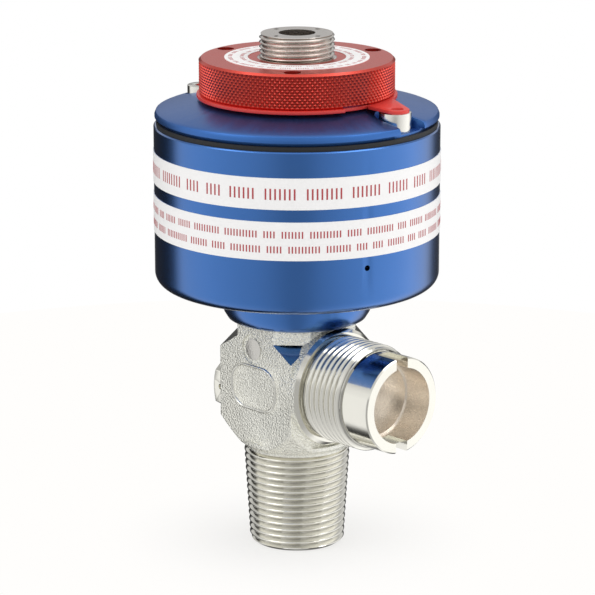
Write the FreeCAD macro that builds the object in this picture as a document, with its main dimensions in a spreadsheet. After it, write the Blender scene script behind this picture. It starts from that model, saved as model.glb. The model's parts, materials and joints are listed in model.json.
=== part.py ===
# Pneumatic gas cylinder valve: a forged body with a tapered inlet thread, a threaded side outlet
# and a relief plug, closed by a diaphragm; above it an air actuator whose piston lifts against
# disc springs, and a knurled lock ring that turns round the air spigot.
# Row frame in millimetres: origin at the centre of the inlet end, +Z up, outlet towards +X.
import FreeCAD, Part
import math
import os

import Sketcher
from FreeCAD import Placement, Rotation, Vector

# Driving dimensions: name, value, what it is. Lengths in mm, angles in degrees.
SIZES = [
    ("inlet_crest_radius", 14.4, "large end of the tapered inlet thread, at its crests"),
    ("inlet_taper", 0.06, "radius lost per millimetre: a taper of 3 in 25 on the diameter"),
    ("inlet_thread_length", 27.0, "length of the tapered thread from the inlet end"),
    ("inlet_end_chamfer", 0.8, "chamfer of the inlet end"),
    ("inlet_bore_radius", 4.0, "gas bore up from the inlet end"),
    ("collar_groove", 0.4, "line groove between thread and collar, width and depth"),
    ("collar_height", 0.3, "plain collar above the line groove"),
    ("shoulder_rise", 1.3, "flare from the collar to the forging's cone"),
    ("shoulder_step", 1.6, "cone's small radius beyond the inlet thread's"),
    ("cone_height", 6.6, "height of the forging's cone"),
    ("body_width", 28.0, "square body along the outlet"),
    ("body_depth", 30.6, "square body from front to back"),
    ("square_height", 18.9, "plain square part above the cone"),
    ("facet_height", 4.3, "height of a corner facet"),
    ("corner_cut", 7.0, "corner cut of the octagonal neck, along each side"),
    ("neck_height", 13.4, "octagonal neck above the facets"),
    ("spot_radius", 4.15, "round spot face on the front"),
    ("spot_depth", 0.4, "depth of the spot face"),
    ("spot_rise", 1.5, "spot face's centre above the foot of the facets"),
    ("spot_offset", 1.0, "spot face's centre off the inlet's axis, away from the outlet"),
    ("outlet_rise", 10.6, "outlet's axis above the cone"),
    ("boss_length", 2.7, "forged boss behind the outlet thread"),
    ("boss_radius", 15.9, "radius of that boss"),
    ("boss_chamfer", 0.9, "chamfer of that boss"),
    ("outlet_thread_radius", 14.29, "outlet thread 1.125-14 at its crests"),
    ("outlet_thread_length", 14.3, "outlet thread with its run-out"),
    ("thread_depth", 1.1, "depth of the outlet thread's run-outs"),
    ("nose_step", 1.34, "plain nose's radius less than the thread's"),
    ("nose_length", 9.3, "plain nose in front of the outlet thread"),
    ("outlet_edge", 0.35, "chamfer of the outlet's nose"),
    ("nose_wall", 2.75, "wall of the outlet's nose"),
    ("outlet_bore_depth", 8.6, "depth of the entry bore"),
    ("socket_step", 0.5, "socket's radius less than the entry bore's"),
    ("outlet_socket_depth", 16.0, "depth of the socket from the end face"),
    ("outlet_throat_radius", 6.5, "throat behind the socket"),
    ("outlet_throat_length", 3.0, "length of the throat"),
    ("outlet_passage_radius", 2.2, "drilled passage from the throat to the valve chamber"),
    ("slot_width", 4.1, "driver slots across the outlet's nose"),
    ("slot_depth", 7.0, "depth of the driver slots"),
    ("seat_bore_radius", 3.2, "bore through the valve seat"),
    ("seat_land", 1.0, "flat top of the seat lip"),
    ("seat_lip_height", 1.6, "seat lip above the chamber floor"),
    ("passage_rise", 0.2, "passage's lowest line above the chamber floor"),
    ("chamber_radius", 9.0, "radius of the valve chamber"),
    ("ledge_width", 3.0, "ledge that the diaphragms lie on"),
    ("ledge_depth", 12.2, "depth of that ledge below the neck's top"),
    ("relief_rise", 4.0, "relief port's axis above the cone"),
    ("relief_thread_radius", 5.0, "threaded bore of the relief port"),
    ("relief_seat_depth", 7.0, "depth of the burst disc's ledge from the body's side"),
    ("relief_hole_radius", 1.6, "hole from the gas bore to the burst disc"),
    ("burst_disc_thickness", 0.3, "thickness of the burst disc"),
    ("relief_washer_width", 2.6, "width of the relief plug's washer"),
    ("relief_washer_thickness", 1.0, "thickness of the relief plug's washer"),
    ("relief_hex", 15.5, "relief plug across its flats"),
    ("relief_hex_length", 10.5, "length of the relief plug's hexagon"),
    ("relief_face_inset", 0.4, "relief plug's round end face inside its flats"),
    ("relief_nose_step", 2.4, "relief plug's nose inside its flats"),
    ("relief_nose_length", 1.6, "length of the relief plug's nose"),
    ("relief_bore_radius", 2.2, "bore inside the relief plug"),
    ("relief_vent_radius", 0.8, "cross vents of the relief plug"),
    ("relief_vent_offset", 3.0, "distance of the cross vents from the hexagon's end"),
    ("diaphragm_thickness", 0.15, "thickness of one diaphragm"),
    ("diaphragm_gap", 0.01, "gap between stacked diaphragms"),
    ("clamp_width", 4.0, "width of the diaphragm clamp ring"),
    ("clamp_thickness", 2.4, "thickness of the diaphragm clamp ring"),
    ("bonnet_flange_width", 3.5, "bonnet's flange beyond its thread"),
    ("bonnet_flange_thickness", 3.0, "thickness of the bonnet's flange"),
    ("bonnet_recess_height", 1.9, "recess under the bonnet for the stem's button"),
    ("gasket_thickness", 0.4, "flat gasket under the bonnet's flange"),
    ("stem_radius", 4.0, "valve stem in the bonnet"),
    ("button_clearance", 1.0, "room round the stem's button in the clamp ring"),
    ("stem_button_thickness", 1.7, "thickness of the stem's button"),
    ("stem_seal_depth", 8.2, "top of the stem seal's groove below the bonnet's top"),
    ("seal_section", 2.2, "width of the stem and spigot seals' grooves"),
    ("stem_thread_length", 4.8, "stem's length screwed into the piston"),
    ("seat_disc_margin", 0.6, "seat disc's radius beyond the lip's"),
    ("seat_disc_thickness", 2.0, "thickness of the seat disc"),
    ("holder_wall", 1.2, "lower spindle's wall round the seat disc"),
    ("holder_head_height", 3.6, "height of the lower spindle's head"),
    ("holder_stem_radius", 4.1, "lower spindle's guided stem"),
    ("collar_clearance", 0.5, "room round the lower spindle's collar in the clamp ring"),
    ("holder_collar_height", 2.4, "height of the lower spindle's collar"),
    ("guide_bush_depth", 8.0, "bottom of the lower spindle's guide below the ledge"),
    ("guide_bush_height", 2.0, "height of the lower spindle's guide"),
    ("return_spring_sheet", 0.5, "sheet of the return springs"),
    ("return_spring_count", 2, "return springs stacked under the collar"),
    ("hub_clearance", 0.26, "hub's bore beyond the neck's corners"),
    ("hub_wall", 3.0, "wall of the housing's hub"),
    ("hub_depth", 9.6, "hub's reach down the forging's neck"),
    ("hub_lip", 0.2, "flat at the bottom of the hub, round its bore"),
    ("hub_round_height", 4.6, "height of the hub's rounded bottom"),
    ("hub_floor", 4.8, "housing's floor over the forging's neck"),
    ("housing_radius", 38.1, "actuator housing outside"),
    ("housing_wall", 3.1, "wall of the actuator housing"),
    ("housing_base", 4.6, "thickness of the housing's base"),
    ("housing_depth", 38.7, "depth of the actuator housing inside"),
    ("housing_round", 3.6, "rounding of the housing's lower edge"),
    ("rim_chamfer", 0.35, "chamfer of the housing's rim"),
    ("vent_radius", 0.75, "vent hole in the housing's wall"),
    ("vent_rise", 7.4, "vent hole above the housing's floor"),
    ("vent_angle", -14.6, "direction of the vent hole from +X"),
    ("band_thickness", 0.15, "printed bands round the housing"),
    ("upper_band_drop", 6.7, "upper band below the housing's rim"),
    ("upper_band_width", 8.25, "width of the upper band"),
    ("band_spacing", 3.25, "plain strip between the bands"),
    ("lower_band_width", 10.1, "width of the lower band"),
    ("piston_rest_gap", 0.8, "gap under the piston at rest"),
    ("piston_thickness", 5.4, "thickness of the piston's rim"),
    ("piston_clearance", 0.3, "piston's radius is this much less than the housing's bore"),
    ("piston_recess_room", 0.8, "room over and round the bonnet's flange under the piston"),
    ("spring_seat_height", 4.8, "raised spring seat on top of the piston"),
    ("spring_seat_inset", 2.0, "spring seat's radius inside the housing's bore"),
    ("piston_hub_radius", 11.0, "hub on top of the piston"),
    ("piston_hub_height", 4.0, "height of the hub above the spring seat"),
    ("piston_tube_radius", 6.0, "air tube on top of the piston"),
    ("piston_tube_drop", 4.6, "top of the air tube below the cover's boss, at rest"),
    ("piston_air_radius", 3.0, "bore inside the air tube"),
    ("piston_port_radius", 1.0, "ports from the air tube to the piston's underside"),
    ("piston_port_offset", 8.0, "distance of the upright port from the axis"),
    ("wear_groove_rise", 0.6, "piston ring's groove above the piston's underside"),
    ("wear_groove_width", 1.6, "width of the piston ring's groove"),
    ("wear_groove_depth", 1.0, "depth of the piston ring's groove"),
    ("groove_spacing", 0.6, "land between the piston's two grooves"),
    ("piston_groove_width", 1.8, "width of the piston seal's groove"),
    ("piston_groove_depth", 1.8, "depth of the piston seal's groove"),
    ("running_clearance", 0.05, "radial clearance of parts that run in each other"),
    ("spring_inner_radius", 15.6, "disc springs' bore"),
    ("spring_outer_radius", 31.0, "disc springs' outside"),
    ("spring_sheet", 3.5, "thickness of one disc spring"),
    ("spring_count", 4, "disc springs in the stack"),
    ("guide_clearance", 0.3, "spring sleeve's radius less than the springs' bore"),
    ("guide_wall", 2.7, "wall of the sleeve that centres the disc springs"),
    ("guide_height", 15.0, "height of that sleeve"),
    ("cover_depth", 8.1, "cover's plug inside the housing"),
    ("cover_clearance", 0.1, "cover's plug is this much smaller than the housing's bore"),
    ("cover_groove_rise", 0.8, "cover seal's groove above the cover's underside"),
    ("cover_groove_width", 2.2, "width of the cover seal's groove"),
    ("cover_groove_depth", 1.8, "depth of the cover seal's groove"),
    ("cover_neck_inset", 1.7, "dark neck under the cover's flange, inside the housing's radius"),
    ("cover_neck_height", 2.2, "height of that neck"),
    ("cover_gasket_height", 1.2, "height of the rubber ring on the housing's rim"),
    ("cover_gasket_inset", 0.7, "rubber ring's radius inside the housing's"),
    ("cover_inset", 0.3, "cover's radius inside the housing's"),
    ("cover_flange_thickness", 2.0, "cover's flange"),
    ("cover_round", 1.3, "rounding of the cover's top edge"),
    ("cover_flat_inset", 2.0, "radius of the cover's flat top inside the lock ring's"),
    ("cover_rise", 2.7, "rise of the cover's sloped top"),
    ("notch_width", 10.7, "notch in the cover round the front screw"),
    ("notch_depth", 2.4, "screw heads' seats below the cover's top"),
    ("screw_circle_inset", 6.4, "cover screws' circle inside the housing's radius"),
    ("screw_angle", 10.3, "direction of the front cover screw from +X"),
    ("screw_head_radius", 4.25, "M5 cap screw's head"),
    ("screw_head_height", 5.0, "height of the cap screw's head"),
    ("screw_shank_radius", 2.5, "M5 cap screw's shank"),
    ("screw_tip_margin", 0.5, "screw's tip above the cover seal's groove"),
    ("screw_socket_flats", 4.0, "hexagon socket across its flats"),
    ("screw_socket_depth", 2.5, "depth of the hexagon socket"),
    ("screw_pocket_clearance", 0.6, "room round the rear screw's head"),
    ("spigot_plug_wall", 1.3, "spigot's wall round its seal"),
    ("spigot_recess", 0.6, "spigot's lower end above the cover's underside"),
    ("spigot_seal_rise", 3.8, "spigot seal's groove above the spigot's lower end"),
    ("tube_headroom", 4.0, "room above the piston's tube at rest"),
    ("spigot_flange_width", 4.5, "spigot's flange beyond the lock ring's bore"),
    ("spigot_flange_gap", 0.1, "gap between the seal plate and that flange"),
    ("spigot_flange_thickness", 2.4, "thickness of that flange"),
    ("spigot_thread_radius", 10.0, "spigot's outer thread at its crests"),
    ("spigot_thread_gap", 0.1, "thread's lower end above the lock ring"),
    ("spigot_thread_length", 6.4, "length of the spigot's outer thread"),
    ("spigot_chamfer", 0.5, "chamfer at the top of the spigot"),
    ("air_port_radius", 4.86, "air port, G 1/8"),
    ("air_port_depth", 9.0, "depth of the air port's thread"),
    ("washer_inset", 4.0, "thrust washer's radius inside the boss's"),
    ("washer_thickness", 0.4, "thickness of the thrust washer"),
    ("plate_gap", 0.1, "gap between the thrust washer and the seal plate"),
    ("ring_bore_step", 0.56, "lock ring's bore beyond the spigot's thread"),
    ("ring_radius", 26.0, "lock ring outside"),
    ("ring_height", 9.5, "height of the lock ring"),
    ("ring_chamfer", 0.6, "chamfer of the lock ring"),
    ("ring_counterbore_clearance", 0.2, "room round the spigot's flange in the lock ring"),
    ("ring_hole_inset", 3.25, "lock ring's hole circle inside its rim"),
    ("ring_hole_radius", 2.25, "lock ring's holes"),
    ("ring_hole_angle", 74.0, "direction of the first of the three holes"),
    ("plate_screw_seat_rise", 3.0, "plate screws' heads above the ring's underside"),
    ("plate_screw_radius", 1.25, "plate screws' shank"),
    ("plate_screw_head_height", 2.3, "plate screws' heads"),
    ("label_inner_radius", 13.0, "printed ring on the lock ring"),
    ("label_outer_radius", 19.2, "printed ring on the lock ring"),
    ("label_thickness", 0.12, "thickness of the printed ring"),
    ("plate_thickness", 0.9, "seal plate"),
    ("plate_overhang", 0.6, "seal plate's rim beyond the lock ring's"),
    ("plate_step", 1.2, "step in the plate's rim beside the tab"),
    ("plate_step_angle", 20.6, "length of that step"),
    ("tab_angle", 5.6, "direction of the seal plate's tab"),
    ("tab_root_start", -3.8, "where the tab leaves the ring, from the tab's direction"),
    ("tab_root_end", 24.8, "where the tab meets the ring again, from the tab's direction"),
    ("tab_side_start", -100.2, "where that side touches the tip's rounding"),
    ("tab_side_end", 56.8, "where the other side touches the tip's rounding"),
    ("tab_tip_radius", 3.2, "rounding of the tab's tip"),
    ("tab_reach", 2.7, "tab's hole beyond the cover screws' circle"),
    ("tab_hole_radius", 1.65, "hole in the tab"),
]

ROOT_TWO = math.sqrt(2)
ROOT_THREE = math.sqrt(3)
OVERSHOOT = 1.0
DIAPHRAGM_COUNT = 3
SHEET_NAME = "Sizes"

doc = FreeCAD.newDocument("cylinder_valve")
sheet = doc.addObject("Spreadsheet::Sheet", SHEET_NAME)
for row, (name, value, note) in enumerate(SIZES, 1):
    sheet.set(f"A{row}", name)
    sheet.set(f"B{row}", str(value))
    sheet.setAlias(f"B{row}", name)
    sheet.set(f"C{row}", note)
doc.recompute()


class Size:
    """A number that keeps the sheet expression it comes from, so a feature can be bound to it."""

    def __init__(self, value, text):
        self.value = value
        self.text = text

    def __add__(self, other):
        return join(self, "+", other, self.value + number(other))

    def __radd__(self, other):
        return join(other, "+", self, number(other) + self.value)

    def __sub__(self, other):
        return join(self, "-", other, self.value - number(other))

    def __rsub__(self, other):
        return join(other, "-", self, number(other) - self.value)

    def __mul__(self, other):
        return join(self, "*", other, self.value * number(other))

    def __rmul__(self, other):
        return join(other, "*", self, number(other) * self.value)

    def __truediv__(self, other):
        return join(self, "/", other, self.value / number(other))

    def __neg__(self):
        return join(0, "-", self, -self.value)


def number(item):
    return item.value if isinstance(item, Size) else float(item)


def text(item):
    return item.text if isinstance(item, Size) else f"{float(item):.9f}"


def join(left, sign, right, value):
    return Size(value, f"({text(left)} {sign} {text(right)})")


def hypotenuse(one, other):
    """Length across a right angle, driven by its two sides."""
    value = math.hypot(number(one), number(other))
    return Size(value, f"sqrt({text(one)} ^ 2 + {text(other)} ^ 2)")


class SheetSizes:
    """The sheet's named cells as Size values."""


s = SheetSizes()
for name, value, note in SIZES:
    setattr(s, name, Size(float(sheet.get(name)), f"{SHEET_NAME}.{name}"))

SUBPARTS = []


def bind(feature, prop, item):
    feature.setExpression(prop, text(item))


def place(feature, base=(0, 0, 0), rotation=Rotation()):
    """Turn a feature and bind its place to the sheet."""
    start = Vector(*[number(item) for item in base])
    feature.Placement = Placement(start, rotation)
    for letter, item in zip("xyz", base):
        if isinstance(item, Size):
            bind(feature, f"Placement.Base.{letter}", item)
    return feature


def subpart(feature, label):
    """Name a finished piece; its label becomes its file name."""
    feature.Label = label
    SUBPARTS.append(feature)
    return feature


def origin_plane(body, role):
    return [item for item in body.Origin.OriginFeatures if item.Role == role][0]


def profile_sketch(body, name, points, role="XZ_Plane"):
    """A closed outline of straight edges, every corner held by two driven distances."""
    sketch = body.newObject("Sketcher::SketchObject", name)
    sketch.AttachmentSupport = [(origin_plane(body, role), "")]
    sketch.MapMode = "FlatFace"
    corners = [Vector(number(across), number(up), 0) for across, up in points]
    count = len(corners)
    for index in range(count):
        sketch.addGeometry(Part.LineSegment(corners[index], corners[(index + 1) % count]))
    for index in range(count):
        sketch.addConstraint(Sketcher.Constraint("Coincident", index, 2, (index + 1) % count, 1))
    for index, (across, up) in enumerate(points):
        for kind, item in (("DistanceX", across), ("DistanceY", up)):
            key = sketch.addConstraint(Sketcher.Constraint(kind, -1, 1, index, 1, number(item)))
            if isinstance(item, Size):
                bind(sketch, f"Constraints[{key}]", item)
    return sketch


def turned(name, points, base=(0, 0, 0), rotation=Rotation()):
    """A solid of revolution from a (radius, height) outline."""
    body = doc.addObject("PartDesign::Body", name)
    sketch = profile_sketch(body, name + "_outline", points)
    turn = body.newObject("PartDesign::Revolution", name + "_turned")
    turn.Profile = sketch
    turn.ReferenceAxis = (sketch, ["V_Axis"])
    turn.Angle = 360.0
    body.Tip = turn
    return place(body, base, rotation)


def padded(name, points, height, base=(0, 0, 0)):
    """A plate of even height from an outline in plan."""
    body = doc.addObject("PartDesign::Body", name)
    sketch = profile_sketch(body, name + "_outline", points, "XY_Plane")
    pad = body.newObject("PartDesign::Pad", name + "_pad")
    pad.Profile = sketch
    bind(pad, "Length", height)
    body.Tip = pad
    return place(body, base)


def ring(name, inner, outer, bottom, top):
    """A plain ring about Z."""
    return turned(name, [(inner, bottom), (outer, bottom), (outer, top), (inner, top)])


def cylinder(name, radius, height, base=(0, 0, 0), rotation=Rotation()):
    feature = doc.addObject("Part::Cylinder", name)
    bind(feature, "Radius", radius)
    bind(feature, "Height", height)
    return place(feature, base, rotation)


def block(name, length, width, height, base=(0, 0, 0), rotation=Rotation()):
    feature = doc.addObject("Part::Box", name)
    bind(feature, "Length", length)
    bind(feature, "Width", width)
    bind(feature, "Height", height)
    return place(feature, base, rotation)


def prism(name, sides, flats, height, base=(0, 0, 0), rotation=Rotation()):
    """A regular prism given across its flats."""
    feature = doc.addObject("Part::Prism", name)
    feature.Polygon = sides
    bind(feature, "Circumradius", flats / (2 * math.cos(math.pi / sides)))
    bind(feature, "Height", height)
    return place(feature, base, rotation)


def fused(name, pieces):
    feature = doc.addObject("Part::MultiFuse", name)
    feature.Shapes = pieces
    return feature


def common(name, pieces):
    feature = doc.addObject("Part::MultiCommon", name)
    feature.Shapes = pieces
    return feature


def cut(name, base, tools):
    """Base less one tool, or less several tools joined first."""
    feature = doc.addObject("Part::Cut", name)
    feature.Base = base
    feature.Tool = tools[0] if len(tools) == 1 else fused(name + "_tools", tools)
    return feature


def group(name, pieces):
    feature = doc.addObject("Part::Compound", name)
    feature.Links = pieces
    return feature


def polar(radius, angle):
    """Sheet-driven x and y of a point at a distance and direction from the axis."""
    value = math.radians(number(angle))
    across = Size(number(radius) * math.cos(value), f"({text(radius)} * cos({text(angle)}))")
    along = Size(number(radius) * math.sin(value), f"({text(radius)} * sin({text(angle)}))")
    return across, along


TO_PLUS_X = Rotation(Vector(0, 1, 0), 90)
TO_MINUS_X = Rotation(Vector(0, 1, 0), -90)
TO_MINUS_Y = Rotation(Vector(1, 0, 0), 90)
HALF_QUARTER = Rotation(Vector(0, 0, 1), 45)

# Levels and radii that follow from the driving sizes, from the inlet end upwards
collar_top = s.inlet_thread_length + s.collar_groove + s.collar_height
shoulder_height = collar_top + s.shoulder_rise
shoulder_radius = s.inlet_crest_radius + s.shoulder_step
cone_top = shoulder_height + s.cone_height
half_width = s.body_width / 2
half_depth = s.body_depth / 2
corner_radius = hypotenuse(half_width, half_depth)
facet_start = cone_top + s.square_height
facet_top = facet_start + s.facet_height
body_top = facet_top + s.neck_height
neck_half_width = (half_width + half_depth - s.corner_cut) / ROOT_TWO
neck_corner_radius = hypotenuse(half_depth, half_width - s.corner_cut)
inlet_small_radius = s.inlet_crest_radius - s.inlet_taper * s.inlet_thread_length
spot_height = facet_start + s.spot_rise
outlet_height = cone_top + s.outlet_rise
outlet_boss_end = half_width + s.boss_length
outlet_thread_end = outlet_boss_end + s.outlet_thread_length
outlet_end = outlet_thread_end + s.nose_length
nose_radius = s.outlet_thread_radius - s.nose_step
outlet_bore_radius = nose_radius - s.nose_wall
outlet_socket_radius = outlet_bore_radius - s.socket_step
outlet_throat_depth = s.outlet_socket_depth + s.outlet_throat_length
relief_height = cone_top + s.relief_rise
relief_seat = half_width - s.relief_seat_depth
relief_washer_radius = s.relief_thread_radius + s.relief_washer_width
relief_nose_radius = s.relief_hex / 2 - s.relief_nose_step
relief_face_radius = s.relief_hex / 2 - s.relief_face_inset
relief_corner_radius = s.relief_hex / ROOT_THREE
relief_face_chamfer = (relief_corner_radius - relief_face_radius) / ROOT_THREE
chamber_floor = outlet_height - s.outlet_passage_radius - s.passage_rise
seat_lip_radius = s.seat_bore_radius + s.seat_land
seat_top = chamber_floor + s.seat_lip_height
diaphragm_ledge = body_top - s.ledge_depth
bonnet_thread_radius = s.chamber_radius + s.ledge_width
diaphragm_pitch = s.diaphragm_thickness + s.diaphragm_gap
diaphragm_top = diaphragm_ledge + DIAPHRAGM_COUNT * diaphragm_pitch
clamp_inner_radius = bonnet_thread_radius - s.clamp_width
clamp_top = diaphragm_top + s.clamp_thickness
stem_button_radius = clamp_inner_radius - s.button_clearance
holder_collar_radius = clamp_inner_radius - s.collar_clearance
seat_disc_radius = seat_lip_radius + s.seat_disc_margin
holder_head_radius = seat_disc_radius + s.holder_wall
guide_bush_bottom = diaphragm_ledge - s.guide_bush_depth
hub_bore_radius = neck_corner_radius + s.hub_clearance
hub_radius = hub_bore_radius + s.hub_wall
hub_round_width = s.hub_wall - s.hub_lip
hub_bottom = body_top - s.hub_depth
housing_floor = body_top + s.hub_floor
housing_bottom = housing_floor - s.housing_base
housing_rim = housing_floor + s.housing_depth
housing_bore = s.housing_radius - s.housing_wall
vent_height = housing_floor + s.vent_rise
upper_band_bottom = housing_rim - s.upper_band_drop - s.upper_band_width
lower_band_bottom = upper_band_bottom - s.band_spacing - s.lower_band_width
bonnet_flange_radius = bonnet_thread_radius + s.bonnet_flange_width
bonnet_flange_bottom = housing_floor + s.gasket_thickness
bonnet_top = bonnet_flange_bottom + s.bonnet_flange_thickness
stem_seal_top = bonnet_top - s.stem_seal_depth
stem_seal_height = stem_seal_top - s.seal_section
piston_bottom = housing_floor + s.piston_rest_gap
piston_recess_radius = bonnet_flange_radius + s.piston_recess_room
piston_recess_top = bonnet_top + s.piston_recess_room
piston_rim_top = piston_bottom + s.piston_thickness
piston_top = piston_rim_top + s.spring_seat_height
piston_hub_top = piston_top + s.piston_hub_height
spring_seat_radius = housing_bore - s.spring_seat_inset
stem_top = piston_recess_top + s.stem_thread_length
wear_groove_bottom = piston_bottom + s.wear_groove_rise
wear_groove_top = wear_groove_bottom + s.wear_groove_width
piston_groove_bottom = wear_groove_top + s.groove_spacing
piston_groove_top = piston_groove_bottom + s.piston_groove_width
guide_outer_radius = s.spring_inner_radius - s.guide_clearance
guide_inner_radius = guide_outer_radius - s.guide_wall
cover_bottom = housing_rim - s.cover_depth
cover_groove_bottom = cover_bottom + s.cover_groove_rise
cover_groove_top = cover_groove_bottom + s.cover_groove_width
cover_neck_radius = s.housing_radius - s.cover_neck_inset
cover_gasket_radius = s.housing_radius - s.cover_gasket_inset
cover_radius = s.housing_radius - s.cover_inset
cover_flange_bottom = housing_rim + s.cover_neck_height
cover_flange_top = cover_flange_bottom + s.cover_flange_thickness
cover_flat_radius = s.ring_radius - s.cover_flat_inset
cover_top = cover_flange_top + s.cover_rise
screw_seat = cover_flange_top - s.notch_depth
screw_tip = cover_groove_top + s.screw_tip_margin
screw_circle_radius = s.housing_radius - s.screw_circle_inset
piston_tube_top = cover_top - s.piston_tube_drop
spigot_bottom = cover_bottom + s.spigot_recess
spigot_bore_radius = s.piston_tube_radius + s.running_clearance
spigot_seal_bottom = spigot_bottom + s.spigot_seal_rise
spigot_seal_radius = s.piston_tube_radius + s.seal_section
spigot_plug_radius = spigot_seal_radius + s.spigot_plug_wall
spigot_bore_top = piston_tube_top + s.tube_headroom
washer_radius = cover_flat_radius - s.washer_inset
plate_bottom = cover_top + s.washer_thickness + s.plate_gap
plate_radius = s.ring_radius + s.plate_overhang
ring_bottom = plate_bottom + s.plate_thickness
ring_top = ring_bottom + s.ring_height
ring_bore_radius = s.spigot_thread_radius + s.ring_bore_step
journal_radius = ring_bore_radius - s.running_clearance
ring_hole_circle = s.ring_radius - s.ring_hole_inset
spigot_flange_radius = ring_bore_radius + s.spigot_flange_width
spigot_flange_bottom = ring_bottom + s.spigot_flange_gap
spigot_flange_top = spigot_flange_bottom + s.spigot_flange_thickness
spigot_thread_bottom = ring_top + s.spigot_thread_gap
spigot_top = spigot_thread_bottom + s.spigot_thread_length
air_port_bottom = spigot_top - s.air_port_depth
plate_screw_seat = ring_bottom + s.plate_screw_seat_rise
tab_hole_distance = screw_circle_radius + s.tab_reach


def forging_blank():
    """Square bar with a cone below and faceted corners above, on its tapered inlet stem."""
    bar = block("square_bar", s.body_width, s.body_depth, body_top - shoulder_height,
                (-half_width, -half_depth, shoulder_height))
    envelope = turned("cone_envelope", [
        (0, shoulder_height),
        (shoulder_radius, shoulder_height),
        (corner_radius + OVERSHOOT, cone_top + OVERSHOOT),
        (corner_radius + OVERSHOOT, body_top + OVERSHOOT),
        (0, body_top + OVERSHOOT),
    ])
    wide = corner_radius + OVERSHOOT
    tower_foot = block("tower_foot", 2 * wide, 2 * wide, facet_start,
                       (0, -wide * ROOT_TWO, 0), HALF_QUARTER)
    taper = doc.addObject("Part::Wedge", "tower_taper")
    for low, high in (("Xmin", "Xmax"), ("Zmin", "Zmax")):
        bind(taper, low, -corner_radius)
        bind(taper, high, corner_radius)
    for low, high in (("X2min", "X2max"), ("Z2min", "Z2max")):
        bind(taper, low, -neck_half_width)
        bind(taper, high, neck_half_width)
    bind(taper, "Ymin", 0)
    bind(taper, "Ymax", s.facet_height)
    place(taper, (0, 0, facet_start), HALF_QUARTER.multiply(Rotation(Vector(1, 0, 0), 90)))
    tower_neck = block("tower_neck", 2 * neck_half_width, 2 * neck_half_width,
                       body_top - facet_top, (0, -neck_half_width * ROOT_TWO, facet_top),
                       HALF_QUARTER)
    tower = fused("corner_tower", [tower_foot, taper, tower_neck])
    square = common("faceted_square", [bar, envelope, tower])
    stem = turned("inlet_stem", [
        (0, 0),
        (inlet_small_radius - s.inlet_end_chamfer / 2, 0),
        (inlet_small_radius + s.inlet_taper * s.inlet_end_chamfer, s.inlet_end_chamfer),
        (s.inlet_crest_radius, s.inlet_thread_length),
        (s.inlet_crest_radius - s.collar_groove, s.inlet_thread_length),
        (s.inlet_crest_radius - s.collar_groove, s.inlet_thread_length + s.collar_groove),
        (s.inlet_crest_radius, s.inlet_thread_length + s.collar_groove),
        (s.inlet_crest_radius, collar_top),
        (shoulder_radius, shoulder_height),
        (shoulder_radius, shoulder_height + OVERSHOOT),
        (0, shoulder_height + OVERSHOOT),
    ])
    outlet = turned("outlet_stem", [
        (0, s.chamber_radius + OVERSHOOT),
        (s.boss_radius, s.chamber_radius + OVERSHOOT),
        (s.boss_radius, outlet_boss_end - s.boss_chamfer),
        (s.boss_radius - s.boss_chamfer, outlet_boss_end),
        (s.outlet_thread_radius - s.thread_depth, outlet_boss_end),
        (s.outlet_thread_radius - s.thread_depth, outlet_boss_end + s.thread_depth / 2),
        (s.outlet_thread_radius, outlet_boss_end + 1.5 * s.thread_depth),
        (s.outlet_thread_radius, outlet_thread_end - s.thread_depth),
        (s.outlet_thread_radius - s.thread_depth, outlet_thread_end),
        (nose_radius, outlet_thread_end),
        (nose_radius, outlet_end - s.outlet_edge),
        (nose_radius - s.outlet_edge, outlet_end),
        (0, outlet_end),
    ], (0, 0, outlet_height), TO_PLUS_X)
    return fused("forging", [square, stem, outlet])


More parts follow.
